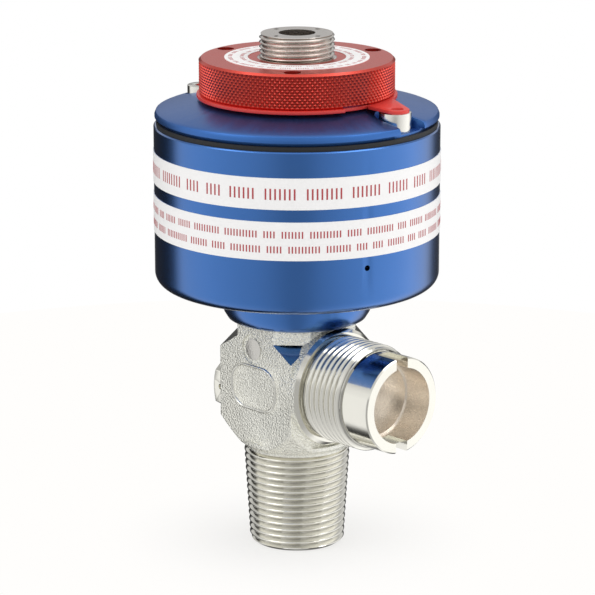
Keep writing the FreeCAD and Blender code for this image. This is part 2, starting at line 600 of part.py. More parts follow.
def make_valve_body():
    gas_way = turned("gas_way", [
        (0, -OVERSHOOT),
        (s.inlet_bore_radius, -OVERSHOOT),
        (s.inlet_bore_radius, chamber_floor - 2 * s.seat_lip_height),
        (s.seat_bore_radius, chamber_floor - s.seat_lip_height),
        (s.seat_bore_radius, seat_top),
        (seat_lip_radius, seat_top),
        (seat_lip_radius + s.seat_lip_height / 2, chamber_floor),
        (s.chamber_radius, chamber_floor),
        (s.chamber_radius, diaphragm_ledge),
        (bonnet_thread_radius, diaphragm_ledge),
        (bonnet_thread_radius, body_top + OVERSHOOT),
        (0, body_top + OVERSHOOT),
    ])
    outlet_way = turned("outlet_way", [
        (0, s.chamber_radius / 2),
        (s.outlet_passage_radius, s.chamber_radius / 2 + OVERSHOOT),
        (s.outlet_passage_radius, outlet_end - outlet_throat_depth),
        (s.outlet_throat_radius, outlet_end - outlet_throat_depth),
        (s.outlet_throat_radius, outlet_end - s.outlet_socket_depth),
        (outlet_socket_radius, outlet_end - s.outlet_socket_depth),
        (outlet_socket_radius, outlet_end - s.outlet_bore_depth),
        (outlet_bore_radius, outlet_end - s.outlet_bore_depth),
        (outlet_bore_radius, outlet_end + OVERSHOOT),
        (0, outlet_end + OVERSHOOT),
    ], (0, 0, outlet_height), TO_PLUS_X)
    relief_way = turned("relief_way", [
        (0, s.inlet_bore_radius / 2),
        (s.relief_hole_radius, s.inlet_bore_radius / 2),
        (s.relief_hole_radius, relief_seat),
        (s.relief_thread_radius, relief_seat),
        (s.relief_thread_radius, half_width + OVERSHOOT),
        (0, half_width + OVERSHOOT),
    ], (0, 0, relief_height), TO_MINUS_X)
    slots = block("driver_slots", s.slot_depth + OVERSHOOT, s.slot_width,
                  2 * (nose_radius + OVERSHOOT),
                  (outlet_end - s.slot_depth, -s.slot_width / 2,
                   outlet_height - nose_radius - OVERSHOOT))
    spot = cylinder("spot_face", s.spot_radius, s.spot_depth + OVERSHOOT,
                    (-s.spot_offset, -half_depth + s.spot_depth, spot_height), TO_MINUS_Y)
    subpart(cut("valve_body", forging_blank(), [gas_way, outlet_way, relief_way, slots, spot]),
            "valve_body")


def make_relief():
    """Burst disc held by a vented plug on a copper washer."""
    disc_end = relief_seat + s.burst_disc_thickness
    disc = turned("burst_disc", [
        (0, relief_seat), (s.relief_thread_radius - s.running_clearance, relief_seat),
        (s.relief_thread_radius - s.running_clearance, disc_end), (0, disc_end),
    ], (0, 0, relief_height), TO_MINUS_X)
    subpart(disc, "burst_disc")
    washer_end = half_width + s.relief_washer_thickness
    washer = turned("relief_washer", [
        (s.relief_thread_radius, half_width), (relief_washer_radius, half_width),
        (relief_washer_radius, washer_end), (s.relief_thread_radius, washer_end),
    ], (0, 0, relief_height), TO_MINUS_X)
    subpart(washer, "relief_washer")
    hex_end = washer_end + s.relief_hex_length
    nose_end = hex_end + s.relief_nose_length
    shank = cylinder("plug_shank", s.relief_thread_radius - s.running_clearance,
                     washer_end - disc_end, (-disc_end, 0, relief_height), TO_MINUS_X)
    hexagon = prism("plug_hexagon", 6, s.relief_hex, s.relief_hex_length,
                    (-washer_end, 0, relief_height), TO_MINUS_X)
    chamfer = turned("plug_chamfer", [
        (0, washer_end), (relief_corner_radius, washer_end),
        (relief_corner_radius, hex_end - relief_face_chamfer),
        (relief_face_radius, hex_end), (0, hex_end),
    ], (0, 0, relief_height), TO_MINUS_X)
    head = common("plug_head", [hexagon, chamfer])
    nose = turned("plug_nose", [
        (0, hex_end), (relief_nose_radius, hex_end),
        (relief_nose_radius, nose_end - s.relief_face_inset),
        (relief_nose_radius - s.relief_face_inset, nose_end), (0, nose_end),
    ], (0, 0, relief_height), TO_MINUS_X)
    vent_level = hex_end - s.relief_vent_offset
    bore_end = vent_level + s.relief_bore_radius
    bore = cylinder("plug_bore", s.relief_bore_radius, bore_end - disc_end + OVERSHOOT,
                    (-disc_end + OVERSHOOT, 0, relief_height), TO_MINUS_X)
    vents = [
        cylinder(f"plug_vent_{letter}", s.relief_vent_radius, 2 * s.relief_hex,
                 base, rotation)
        for letter, base, rotation in (
            ("y", (-vent_level, s.relief_hex, relief_height), TO_MINUS_Y),
            ("z", (-vent_level, 0, relief_height - s.relief_hex), Rotation()),
        )
    ]
    subpart(cut("relief_plug", fused("plug_blank", [shank, head, nose]), [bore] + vents),
            "relief_plug")


def make_diaphragms():
    discs = []
    for index in range(DIAPHRAGM_COUNT):
        bottom = diaphragm_ledge + index * diaphragm_pitch
        discs.append(cylinder(f"diaphragm_{index}", bonnet_thread_radius - s.running_clearance,
                              s.diaphragm_thickness, (0, 0, bottom)))
    subpart(group("diaphragms", discs), "diaphragms")
    subpart(ring("clamp_ring", clamp_inner_radius,
                 bonnet_thread_radius - s.running_clearance, diaphragm_top, clamp_top),
            "clamp_ring")


def make_lower_spindle():
    """Spindle with a soft seat disc, its guide in the chamber and its return springs."""
    disc_bottom = seat_top + s.running_clearance
    disc_top = disc_bottom + s.seat_disc_thickness
    head_bottom = disc_bottom + s.running_clearance
    head_top = head_bottom + s.holder_head_height
    collar_under = diaphragm_ledge - s.running_clearance - s.holder_collar_height
    holder = turned("seat_holder", [
        (0, disc_top),
        (seat_disc_radius, disc_top),
        (seat_disc_radius, head_bottom),
        (holder_head_radius, head_bottom),
        (holder_head_radius, head_top),
        (s.holder_stem_radius, head_top),
        (s.holder_stem_radius, collar_under),
        (holder_collar_radius, collar_under),
        (holder_collar_radius, collar_under + s.holder_collar_height),
        (0, collar_under + s.holder_collar_height),
    ])
    subpart(holder, "seat_holder")
    subpart(cylinder("seat_disc", seat_disc_radius, s.seat_disc_thickness,
                     (0, 0, disc_bottom)), "seat_disc")
    guide_top = guide_bush_bottom + s.guide_bush_height
    subpart(ring("spindle_guide", s.holder_stem_radius + s.running_clearance,
                 s.chamber_radius, guide_bush_bottom, guide_top), "spindle_guide")
    stack = disc_spring_stack("return_spring", s.return_spring_count,
                              s.holder_stem_radius + 4 * s.running_clearance,
                              holder_collar_radius, s.return_spring_sheet,
                              guide_top, collar_under)
    subpart(stack, "return_springs")


def disc_spring_stack(name, count, inner, outer, sheet_thickness, bottom, top):
    """Coned discs set face to face and back to back between two levels."""
    pitch = (top - bottom) / count
    springs = []
    for index in range(round(number(count))):
        low = bottom + index * pitch
        high = low + pitch
        rise = pitch - sheet_thickness
        inner_low = low + rise if index % 2 == 0 else low
        outer_low = low if index % 2 == 0 else low + rise
        springs.append(turned(f"{name}_{index}", [
            (inner, inner_low),
            (outer, outer_low),
            (outer, outer_low + sheet_thickness),
            (inner, inner_low + sheet_thickness),
        ]))
    return group(name + "s", springs)


def make_bonnet():
    seal_outer = s.stem_radius + s.seal_section
    recess_top = clamp_top + s.bonnet_recess_height
    stem_bore = s.stem_radius + s.running_clearance
    bonnet = turned("bonnet", [
        (clamp_inner_radius, clamp_top),
        (bonnet_thread_radius - s.running_clearance, clamp_top),
        (bonnet_thread_radius - s.running_clearance, bonnet_flange_bottom),
        (bonnet_flange_radius, bonnet_flange_bottom),
        (bonnet_flange_radius, bonnet_top),
        (stem_bore, bonnet_top),
        (stem_bore, stem_seal_top),
        (seal_outer, stem_seal_top),
        (seal_outer, stem_seal_height),
        (stem_bore, stem_seal_height),
        (stem_bore, recess_top),
        (clamp_inner_radius, recess_top),
    ])
    subpart(bonnet, "bonnet")
    subpart(ring("stem_seal", stem_bore, seal_outer, stem_seal_height, stem_seal_top),
            "stem_seal")
    subpart(ring("bonnet_gasket", bonnet_thread_radius + 4 * s.running_clearance,
                 bonnet_flange_radius, housing_floor, bonnet_flange_bottom),
            "bonnet_gasket")


def make_stem():
    button_bottom = diaphragm_top + s.running_clearance
    stem = turned("valve_stem", [
        (0, button_bottom),
        (stem_button_radius, button_bottom),
        (stem_button_radius, button_bottom + s.stem_button_thickness),
        (s.stem_radius, button_bottom + s.stem_button_thickness),
        (s.stem_radius, stem_top),
        (0, stem_top),
    ])
    subpart(stem, "valve_stem")


def make_housing():
    shell = turned("housing_shell", [
        (hub_bore_radius, hub_bottom),
        (hub_bore_radius + s.hub_lip, hub_bottom),
        (hub_bore_radius + s.hub_lip + hub_round_width / 2,
         hub_bottom + s.hub_round_height * (1 - ROOT_THREE / 2)),
        (hub_bore_radius + s.hub_lip + hub_round_width * ROOT_THREE / 2,
         hub_bottom + s.hub_round_height / 2),
        (hub_radius, hub_bottom + s.hub_round_height),
        (hub_radius, housing_bottom),
        (s.housing_radius, housing_bottom),
        (s.housing_radius, housing_rim - s.rim_chamfer),
        (s.housing_radius - s.rim_chamfer, housing_rim),
        (housing_bore, housing_rim),
        (housing_bore, housing_floor),
        (bonnet_thread_radius + 2 * s.running_clearance, housing_floor),
        (bonnet_thread_radius + 2 * s.running_clearance, body_top),
        (hub_bore_radius, body_top),
    ])
    doc.recompute()
    turn = shell.Tip
    low_edges = [
        f"Edge{index}" for index, edge in enumerate(turn.Shape.Edges, 1)
        if isinstance(edge.Curve, Part.Circle)
        and abs(edge.Curve.Radius - number(s.housing_radius)) < 1e-6
        and abs(edge.Curve.Center.z - number(housing_bottom)) < 1e-6
    ]
    rounding = shell.newObject("PartDesign::Fillet", "housing_rounding")
    rounding.Base = (turn, low_edges)
    bind(rounding, "Radius", s.housing_round)
    shell.Tip = rounding
    across, along = polar(housing_bore - OVERSHOOT, s.vent_angle)
    vent = cylinder("vent_hole", s.vent_radius, s.housing_wall + 2 * OVERSHOOT,
                    (across, along, vent_height),
                    Rotation(Vector(0, 0, 1), number(s.vent_angle)).multiply(TO_PLUS_X))
    subpart(cut("actuator_housing", shell, [vent]), "actuator_housing")
    for label, bottom, width in (("upper_band", upper_band_bottom, s.upper_band_width),
                                 ("lower_band", lower_band_bottom, s.lower_band_width)):
        subpart(ring(label, s.housing_radius, s.housing_radius + s.band_thickness,
                     bottom, bottom + width), label)


def make_piston():
    rim = housing_bore - s.piston_clearance
    air_bottom = stem_top + 2 * OVERSHOOT
    blank = turned("piston_blank", [
        (piston_recess_radius, piston_bottom),
        (rim, piston_bottom),
        (rim, wear_groove_bottom),
        (rim - s.wear_groove_depth, wear_groove_bottom),
        (rim - s.wear_groove_depth, wear_groove_top),
        (rim, wear_groove_top),
        (rim, piston_groove_bottom),
        (rim - s.piston_groove_depth, piston_groove_bottom),
        (rim - s.piston_groove_depth, piston_groove_top),
        (rim, piston_groove_top),
        (rim, piston_rim_top),
        (spring_seat_radius, piston_rim_top),
        (spring_seat_radius, piston_top),
        (s.piston_hub_radius, piston_top),
        (s.piston_hub_radius, piston_hub_top),
        (s.piston_tube_radius, piston_hub_top),
        (s.piston_tube_radius, piston_tube_top),
        (s.piston_air_radius, piston_tube_top),
        (s.piston_air_radius, air_bottom),
        (0, air_bottom),
        (0, stem_top),
        (s.stem_radius, stem_top),
        (s.stem_radius, piston_recess_top),
        (piston_recess_radius, piston_recess_top),
    ])
    port_level = air_bottom + s.piston_port_radius
    cross_port = cylinder("piston_cross_port", s.piston_port_radius, s.piston_port_offset,
                          (0, 0, port_level), TO_PLUS_X)
    upright_port = cylinder("piston_upright_port", s.piston_port_radius,
                            port_level - piston_recess_top + OVERSHOOT,
                            (s.piston_port_offset, 0, piston_recess_top - OVERSHOOT))
    subpart(cut("piston", blank, [cross_port, upright_port]), "piston")
    subpart(ring("piston_seal", rim - s.piston_groove_depth, housing_bore - s.running_clearance,
                 piston_groove_bottom, piston_groove_top), "piston_seal")
    subpart(ring("piston_ring", rim - s.wear_groove_depth, housing_bore - s.running_clearance,
                 wear_groove_bottom, wear_groove_top), "piston_ring")
    subpart(ring("spring_guide", guide_inner_radius, guide_outer_radius, piston_top,
                 piston_top + s.guide_height), "spring_guide")
    subpart(disc_spring_stack("disc_spring", s.spring_count, s.spring_inner_radius,
                              s.spring_outer_radius, s.spring_sheet, piston_top,
                              cover_bottom), "disc_springs")


def make_cover():
    plug_radius = housing_bore - s.cover_clearance
    blank = turned("cover_blank", [
        (spigot_plug_radius, cover_bottom),
        (plug_radius, cover_bottom),
        (plug_radius, cover_groove_bottom),
        (plug_radius - s.cover_groove_depth, cover_groove_bottom),
        (plug_radius - s.cover_groove_depth, cover_groove_top),
        (plug_radius, cover_groove_top),
        (plug_radius, housing_rim),
        (cover_neck_radius, housing_rim),
        (cover_neck_radius, cover_flange_bottom),
        (cover_radius, cover_flange_bottom),
        (cover_radius, cover_flange_top - s.cover_round),
        (cover_radius - s.cover_round * (1 - 1 / ROOT_TWO),
         cover_flange_top - s.cover_round * (1 - 1 / ROOT_TWO)),
        (cover_radius - s.cover_round, cover_flange_top),
        (cover_flat_radius, cover_top),
        (spigot_plug_radius, cover_top),
    ])
    facing = Rotation(Vector(0, 0, 1), number(s.screw_angle))
    front_x, front_y = polar(screw_circle_radius, s.screw_angle)
    corner_x, corner_y = polar(s.notch_width / 2, s.screw_angle - 90)
    notch_height = cover_top - screw_seat + OVERSHOOT
    notch_round = cylinder("notch_round", s.notch_width / 2, notch_height,
                           (front_x, front_y, screw_seat))
    notch_way = block("notch_way", s.notch_width, s.notch_width, notch_height,
                      (front_x + corner_x, front_y + corner_y, screw_seat), facing)
    bind(notch_way, "Placement.Rotation.Angle", s.screw_angle)
    pocket = cylinder("screw_pocket", s.screw_head_radius + s.screw_pocket_clearance,
                      notch_height, (-front_x, -front_y, screw_seat))
    taps = [
        cylinder(f"screw_tap_{index}", s.screw_shank_radius, screw_seat - screw_tip + OVERSHOOT,
                 (sign * front_x, sign * front_y, screw_tip))
        for index, sign in enumerate((1, -1))
    ]
    subpart(cut("cover", blank, [notch_round, notch_way, pocket] + taps), "cover")
    subpart(ring("cover_seal", plug_radius - s.cover_groove_depth, plug_radius,
                 cover_groove_bottom, cover_groove_top), "cover_seal")
    subpart(ring("cover_gasket", cover_neck_radius, cover_gasket_radius, housing_rim,
                 housing_rim + s.cover_gasket_height), "cover_gasket")
    screws = [cap_screw(index, (sign * front_x, sign * front_y))
              for index, sign in enumerate((1, -1))]
    subpart(group("cover_screws", screws), "cover_screws")


def cap_screw(index, centre):
    """Socket head cap screw standing upright on its seat."""
    across, along = centre
    head = cylinder(f"screw_head_{index}", s.screw_head_radius, s.screw_head_height,
                    (across, along, screw_seat))
    shank = cylinder(f"screw_shank_{index}", s.screw_shank_radius, screw_seat - screw_tip,
                     (across, along, screw_tip))
    socket = prism(f"screw_socket_{index}", 6, s.screw_socket_flats,
                   s.screw_socket_depth + OVERSHOOT,
                   (across, along, screw_seat + s.screw_head_height - s.screw_socket_depth))
    return cut(f"cap_screw_{index}", fused(f"screw_blank_{index}", [head, shank]), [socket])


def make_spigot():
    """Air spigot: it closes the cover, carries the lock ring and takes the air line."""
    seal_top = spigot_seal_bottom + s.seal_section
    spigot = turned("air_spigot", [
        (spigot_bore_radius, spigot_bottom),
        (spigot_plug_radius, spigot_bottom),
        (spigot_plug_radius, cover_top),
        (journal_radius, cover_top),
        (journal_radius, spigot_flange_bottom),
        (spigot_flange_radius, spigot_flange_bottom),
        (spigot_flange_radius, spigot_flange_top),
        (journal_radius, spigot_flange_top),
        (journal_radius, ring_top),
        (s.spigot_thread_radius, spigot_thread_bottom),
        (s.spigot_thread_radius, spigot_top - s.spigot_chamfer),
        (s.spigot_thread_radius - s.spigot_chamfer, spigot_top),
        (s.air_port_radius, spigot_top),
        (s.air_port_radius, air_port_bottom),
        (s.piston_air_radius, air_port_bottom),
        (s.piston_air_radius, spigot_bore_top),
        (spigot_bore_radius, spigot_bore_top),
        (spigot_bore_radius, seal_top),
        (spigot_seal_radius, seal_top),
        (spigot_seal_radius, spigot_seal_bottom),
        (spigot_bore_radius, spigot_seal_bottom),
    ])
    subpart(spigot, "air_spigot")
    subpart(ring("spigot_seal", spigot_bore_radius, spigot_seal_radius, spigot_seal_bottom,
                 seal_top), "spigot_seal")
    subpart(ring("thrust_washer", journal_radius, washer_radius, cover_top,
                 cover_top + s.washer_thickness), "thrust_washer")


def ring_holes(name, radius, bottom, height):
    """Three equal cylinders on the lock ring's hole circle."""
    holes = []
    for index in range(3):
        across, along = polar(ring_hole_circle, s.ring_hole_angle + 120 * index)
        holes.append(cylinder(f"{name}_{index}", radius, height, (across, along, bottom)))
    return holes


def make_lock_ring():
    counterbore = spigot_flange_radius + s.ring_counterbore_clearance
    counterbore_top = spigot_flange_top + s.ring_counterbore_clearance
    blank = turned("lock_ring_blank", [
        (counterbore, ring_bottom),
        (s.ring_radius - s.ring_chamfer, ring_bottom),
        (s.ring_radius, ring_bottom + s.ring_chamfer),
        (s.ring_radius, ring_top - s.ring_chamfer),
        (s.ring_radius - s.ring_chamfer, ring_top),
        (ring_bore_radius, ring_top),
        (ring_bore_radius, counterbore_top),
        (counterbore, counterbore_top),
    ])
    wide = ring_holes("ring_hole", s.ring_hole_radius, plate_screw_seat,
                      ring_top - plate_screw_seat + OVERSHOOT)
    narrow = ring_holes("ring_tap", s.plate_screw_radius, ring_bottom - OVERSHOOT,
                        plate_screw_seat - ring_bottom + 2 * OVERSHOOT)
    subpart(cut("knurled_ring", blank, wide + narrow), "knurled_ring")
    subpart(ring("ring_label", s.label_inner_radius, s.label_outer_radius, ring_top,
                 ring_top + s.label_thickness), "ring_label")
    heads = ring_holes("plate_screw_head", s.ring_hole_radius - 2 * s.running_clearance,
                       plate_screw_seat, s.plate_screw_head_height)
    shanks = ring_holes("plate_screw_shank", s.plate_screw_radius, plate_bottom,
                        plate_screw_seat - plate_bottom)
    screws = [fused(f"plate_screw_{index}", [head, shank])
              for index, (head, shank) in enumerate(zip(heads, shanks))]
    subpart(group("plate_screws", screws), "plate_screws")


def make_seal_plate():
    """Thin plate under the ring, with a stepped rim and a tab that reaches over a screw."""
    disc = cylinder("plate_disc", plate_radius, s.plate_thickness, (0, 0, plate_bottom))
    step_start = s.tab_angle - s.plate_step_angle
    step = cylinder("plate_step_sector", plate_radius + OVERSHOOT,
                    s.plate_thickness + 2 * OVERSHOOT, (0, 0, plate_bottom - OVERSHOOT),
                    Rotation(Vector(0, 0, 1), number(step_start)))
    bind(step, "Angle", s.plate_step_angle)
    bind(step, "Placement.Rotation.Angle", step_start)
    core = cylinder("plate_step_core", plate_radius - s.plate_step,
                    s.plate_thickness + 2 * OVERSHOOT, (0, 0, plate_bottom - OVERSHOOT))
    stepped = cut("plate_stepped", disc, [cut("plate_step_cut", step, [core])])
    hole_x, hole_y = polar(tab_hole_distance, s.tab_angle)
    start_x, start_y = polar(s.tab_tip_radius, s.tab_angle + s.tab_side_start)
    end_x, end_y = polar(s.tab_tip_radius, s.tab_angle + s.tab_side_end)
    arm = padded("tab_arm", [
        polar(s.ring_radius, s.tab_angle + s.tab_root_start),
        (hole_x + start_x, hole_y + start_y),
        (hole_x, hole_y),
        (hole_x + end_x, hole_y + end_y),
        polar(s.ring_radius, s.tab_angle + s.tab_root_end),
    ], s.plate_thickness, (0, 0, plate_bottom))
    tip = cylinder("tab_tip", s.tab_tip_radius, s.plate_thickness, (hole_x, hole_y, plate_bottom))
    blank = fused("plate_blank", [stepped, arm, tip])
    height = s.plate_thickness + 2 * OVERSHOOT
    centre_hole = cylinder("plate_bore", ring_bore_radius, height,
                           (0, 0, plate_bottom - OVERSHOOT))
    tab_hole = cylinder("tab_hole", s.tab_hole_radius, height,
                        (hole_x, hole_y, plate_bottom - OVERSHOOT))
    taps = ring_holes("plate_tap", s.plate_screw_radius, plate_bottom - OVERSHOOT, height)
    subpart(cut("seal_plate", blank, [centre_hole, tab_hole] + taps), "seal_plate")


make_valve_body()
make_relief()
make_diaphragms()
make_lower_spindle()
make_bonnet()
make_stem()
make_housing()
make_piston()
make_cover()
make_spigot()
make_lock_ring()
make_seal_plate()
doc.recompute()

for feature in doc.Objects:
    if "Invalid" in feature.State or "Error" in feature.State:
        raise ValueError(f"{feature.Label} failed: {feature.State}")
for piece in SUBPARTS:
    if piece.Shape.isNull() or not piece.Shape.isValid():
        raise ValueError(f"{piece.Label} has no valid shape")

os.makedirs("parts", exist_ok=True)
for piece in SUBPARTS:
    piece.Shape.exportStep(f"parts/{piece.Label}.step")
    box = piece.Shape.BoundBox
    print(f"{piece.Label:18s} solids {len(piece.Shape.Solids)} volume {piece.Shape.Volume:10.1f}"
          f"  z {box.ZMin:7.2f} to {box.ZMax:7.2f}  r {max(box.XMax, -box.XMin):6.2f}")
print(len(SUBPARTS), "sub-parts")
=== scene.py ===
import json
import math

import bmesh
import bpy
import numpy as np
from mathutils import Matrix, Vector


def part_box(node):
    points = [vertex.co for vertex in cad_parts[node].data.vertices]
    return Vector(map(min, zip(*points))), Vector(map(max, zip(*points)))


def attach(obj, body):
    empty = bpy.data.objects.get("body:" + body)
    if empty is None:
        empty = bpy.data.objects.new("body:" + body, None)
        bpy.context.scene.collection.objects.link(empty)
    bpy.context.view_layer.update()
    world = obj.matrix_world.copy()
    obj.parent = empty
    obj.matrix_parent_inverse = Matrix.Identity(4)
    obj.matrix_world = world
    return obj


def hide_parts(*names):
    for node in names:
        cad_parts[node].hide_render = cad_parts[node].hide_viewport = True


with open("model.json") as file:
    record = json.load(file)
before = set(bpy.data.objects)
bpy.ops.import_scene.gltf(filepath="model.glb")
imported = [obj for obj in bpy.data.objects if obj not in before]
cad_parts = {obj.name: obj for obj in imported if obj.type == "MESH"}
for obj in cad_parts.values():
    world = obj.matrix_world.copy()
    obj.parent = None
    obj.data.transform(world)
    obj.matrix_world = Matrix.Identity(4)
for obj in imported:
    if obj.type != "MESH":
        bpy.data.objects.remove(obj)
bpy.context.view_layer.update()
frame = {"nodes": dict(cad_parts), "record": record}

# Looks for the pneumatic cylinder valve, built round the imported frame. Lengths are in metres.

NODES = frame["nodes"]
MM = 0.001
FULL_TURN = 2 * math.pi
UPRIGHT = Matrix.Identity(4)

# Camera: fitted to the round edges in the photograph, 47 degrees round from the front
VIEW_AZIMUTH = math.radians(47)
VIEW_PITCH = 0.255
VIEW_DISTANCE = 850.94 * MM
VIEW_TARGET_HEIGHT = 67.85 * MM
VIEW_SIDE_OFFSET = 0.135 * MM
VIEW_CLIP = (0.05, 20)
FOCAL_LENGTH = 191.27
SENSOR_WIDTH = 36.0

# Lamps: name, degrees to the right of the camera, degrees above the level, power
LAMPS = [("key_left", -70, 48, 1.3), ("key_right", 70, 52, 1.5)]
LAMP_DISTANCE = 0.9
LAMP_SIZE = 0.5

# Studio: grey levels by degrees to the right of the camera, one list for directions near the
# level and one for higher ones. Both are then dimmed by the direction's height, from -1 to 1,
# with one list for the camera's side and one for the far side. The pairs that follow are the
# ranges over which one list gives way to the next, and the zenith has a level of its own.
LOW_STUDIO = [(-180, 0.4), (-172, 0.2), (-164, 0.03), (-128, 0.03), (-117, 0.12), (-106, 1.0),
              (-80, 1.0), (-34, 0.78), (-20, 0.66), (-8, 0.5), (6, 0.5), (13, 0.58), (17, 0.66),
              (40, 0.88), (75, 1.15), (105, 1.3), (126, 0.95), (142, 0.1), (160, 0.03),
              (170, 0.2), (180, 0.4)]
HIGH_STUDIO = [(-180, 0.72), (-150, 0.65), (-120, 0.75), (-90, 0.95), (-30, 0.95), (0, 0.9),
               (30, 0.95), (90, 1.0), (120, 0.9), (150, 0.7), (180, 0.72)]
FRONT_BY_HEIGHT = [(-1, 0.75), (-0.93, 0.9), (-0.8, 1.0), (0.3, 1.0), (0.5, 0.75),
                   (0.62, 0.65), (0.75, 0.8), (1, 1.0)]
BACK_BY_HEIGHT = [(-1, 0.9), (-0.85, 1.0), (0.3, 1.0), (0.5, 0.75), (0.62, 0.65), (0.75, 0.8),
                  (1, 1.0)]
BACK_TO_FRONT = (-0.1, 0.15)
LOW_TO_HIGH = (0.15, 0.22)
HIGH_TO_ZENITH = (0.62, 0.9)
ZENITH_LEVEL = 1.0

# Floor: a disc. The share of plain white in what the camera sees of it goes from FLOOR_GLOW in
# its middle to all of it at the radius FLOOR_FADE.
FLOOR_RADIUS = 0.26
FLOOR_RINGS = 2
FLOOR_SECTORS = 96
FLOOR_FADE = 0.055
FLOOR_GLOW = 0.6
FLOOR_COLOUR = (0.93, 0.93, 0.92, 1)
FLOOR_GLOW_COLOUR = (1, 0.99, 0.975, 1)
FLOOR_ROUGHNESS = 0.9

# Surface grain shared by the materials
NOISE_SPREAD = (0.3, 0.7)
METAL_GRAIN_DETAIL = 5.0
BLOTCH_SCALE = 90
BLOTCH_DETAIL = 3.0
# Painted shade in thread and knurl grooves: the point attribute that says how deep a point lies,
# and the share of the colour left at full shade
PAINTED_SHADE_MASK = "groove"
GROOVE_SHADE = 0.06
ROUNDING_SAMPLES = 4
PLAIN_DETAIL = 3.0
PLAIN_DARKER = 0.96
PLAIN_LIGHTER = 1.03
PLAIN_GLOSS_SPREAD = 0.15
PLAIN_GRAIN_HEIGHT = 0.01 * MM

# Copies of CAD meshes: weld distance, the bend up to which faces count as flat, and the degrees
# from which edges get a bevel or stay sharp
WELD = 0.002 * MM
FLAT_ANGLE = math.radians(0.2)
BEVEL_SEGMENTS = 2
BEVEL_FROM_ANGLE = 35
SHARP_ANGLE = 30
BODY_SHARP_ANGLE = 25
KNURL_SHARP_ANGLE = 25
SKIN_SHARP_ANGLE = 40
RELIEF_SHARP_ANGLE = 50
SLEEVE_SHARP_ANGLE = 60

# Thread forms: the depth is a share of the pitch, the flat root and the flank are shares of half
# the pitch, and the rest of that is the flat crest
INLET_PITCH = 1.814 * MM
OUTLET_PITCH = 1.814 * MM
SPIGOT_PITCH = 1.25 * MM
THREAD_DEPTH_SHARE = 0.62
ROOT_SHARE = 0.05
FLANK_SHARE = 0.84
THREAD_WALL = 0.3 * MM
SAMPLES_PER_PITCH = 14
AROUND = 192

# Body: thread zones, and the places that tell turned and bored faces from forged ones
INLET_RADIUS = 14.4 * MM
INLET_TAPER = 0.06
INLET_LENGTH = 27.0 * MM
INLET_RUN_IN = 0.9 * MM
COLLAR_TOP = 27.05 * MM
OUTLET_HEIGHT = 46.2 * MM
OUTLET_RADIUS = 14.29 * MM
OUTLET_BOSS_END = 16.7 * MM
OUTLET_THREAD_END = 31.0 * MM
OUTLET_RUN_IN = 1.2 * MM
OUTLET_RUN_OUT = 1.0 * MM
OUTLET_BORE = 10.5 * MM
OUTLET_FLOOR = 38.0 * MM
OUTLET_FACING = 1.2 * MM
OUTLET_REACH = 16 * MM
VALVE_BORE_REACH = 12.2 * MM
FACET_START = 54.5 * MM
FACET_TILT = 0.3
BORE_WALL_TILT = 0.5
TOUCH = 0.05 * MM
CUT_MARGIN = 0.2 * MM
CUT_OUTSIDE = 2 * MM
CUT_BELOW = 1 * MM
MACHINED_SLOT, BORED_SLOT = 1, 2

# Low relief on the body's front
BODY_HALF_DEPTH = 15.3 * MM
FRAME_LEFT = -9.3 * MM
FRAME_RIGHT = 7.9 * MM
FRAME_LOW = 39.5 * MM
FRAME_HIGH = 51.3 * MM
FRAME_CORNER = 5.2 * MM
FRAME_CORNER_STEPS = 12
FRAME_LINE = 1.0 * MM
FRAME_RISE = 0.45 * MM
FRAME_PROFILE = [(-0.5, -0.3), (-0.34, 0.6), (0, 1), (0.34, 0.6), (0.5, -0.3)]
SPOT_X = -1.0 * MM
SPOT_Z = 56.0 * MM
SPOT_DEPTH = 0.4 * MM
SPOT_DISC = 2.9 * MM
SPOT_SUNK = 0.1 * MM
SPOT_EDGE = 0.25 * MM
SPOT_EDGE_SHARE = 0.5
SPOT_TOP_SHARE = 0.75
SPOT_SIDES = 64

# Lock ring and its diamond knurl
RING_CHAMFER = 0.6 * MM
RING_CUT = 0.9 * MM
KNURL_AROUND = 122
KNURL_CELL = 1.47 * MM
KNURL_STEPS = 8
KNURL_DEPTH = 0.5 * MM
KNURL_FLANK = 0.46
KNURL_WALL = 1.2 * MM
KNURL_EDGE = 0.12 * MM
KNURL_EDGE_SLOPE = 0.5

# Air spigot and the holes in its end
SPIGOT_RADIUS = 10.0 * MM
SPIGOT_END_GAP = 0.1 * MM
SPIGOT_CUT_MARGIN = 0.15 * MM
SPIGOT_CUT_OUTSIDE = 1 * MM
SPIGOT_RUN_IN = 0.3 * MM
SPIGOT_RUN_OUT = 0.5 * MM
SPANNER_HOLE_RADIUS = 0.65 * MM
SPANNER_HOLE_DISTANCE = 7.7 * MM
SPANNER_HOLE_DEPTH = 2 * MM
SPANNER_HOLE_ABOVE = 1 * MM
SPANNER_HOLE_ANGLES = (2, 92, 182, 272)
SPANNER_HOLE_SIDES = 32

# Printed strokes. A band's row: level above the band's lower edge, height, stroke, gap, space
# between groups. A label's row: inner radius, outer radius, stroke, gap, space.
UPPER_ROWS = [(2.6 * MM, 2.9 * MM, 0.45 * MM, 0.8 * MM, 2.1 * MM)]
LOWER_ROWS = [(5.9 * MM, 1.8 * MM, 0.36 * MM, 0.5 * MM, 1.3 * MM),
              (2.0 * MM, 1.8 * MM, 0.36 * MM, 0.5 * MM, 1.3 * MM)]
LABEL_ROWS = [(17.2 * MM, 18.3 * MM, 0.22 * MM, 0.4 * MM, 1.1 * MM),
              (14.1 * MM, 15.1 * MM, 0.22 * MM, 0.4 * MM, 1.1 * MM)]
BAND_GROUP = (4, 12)
LABEL_GROUP = (3, 10)
MARK_START = math.radians(137)
MARK_CLOSING_SPACES = 6
STROKE_SUNK = 0.01 * MM
STROKE_PROUD = 0.02 * MM
BLOCK_FACES = [(2, 6, 7, 3), (0, 1, 5, 4), (1, 3, 7, 5), (0, 4, 6, 2), (0, 2, 3, 1), (4, 5, 7, 6)]

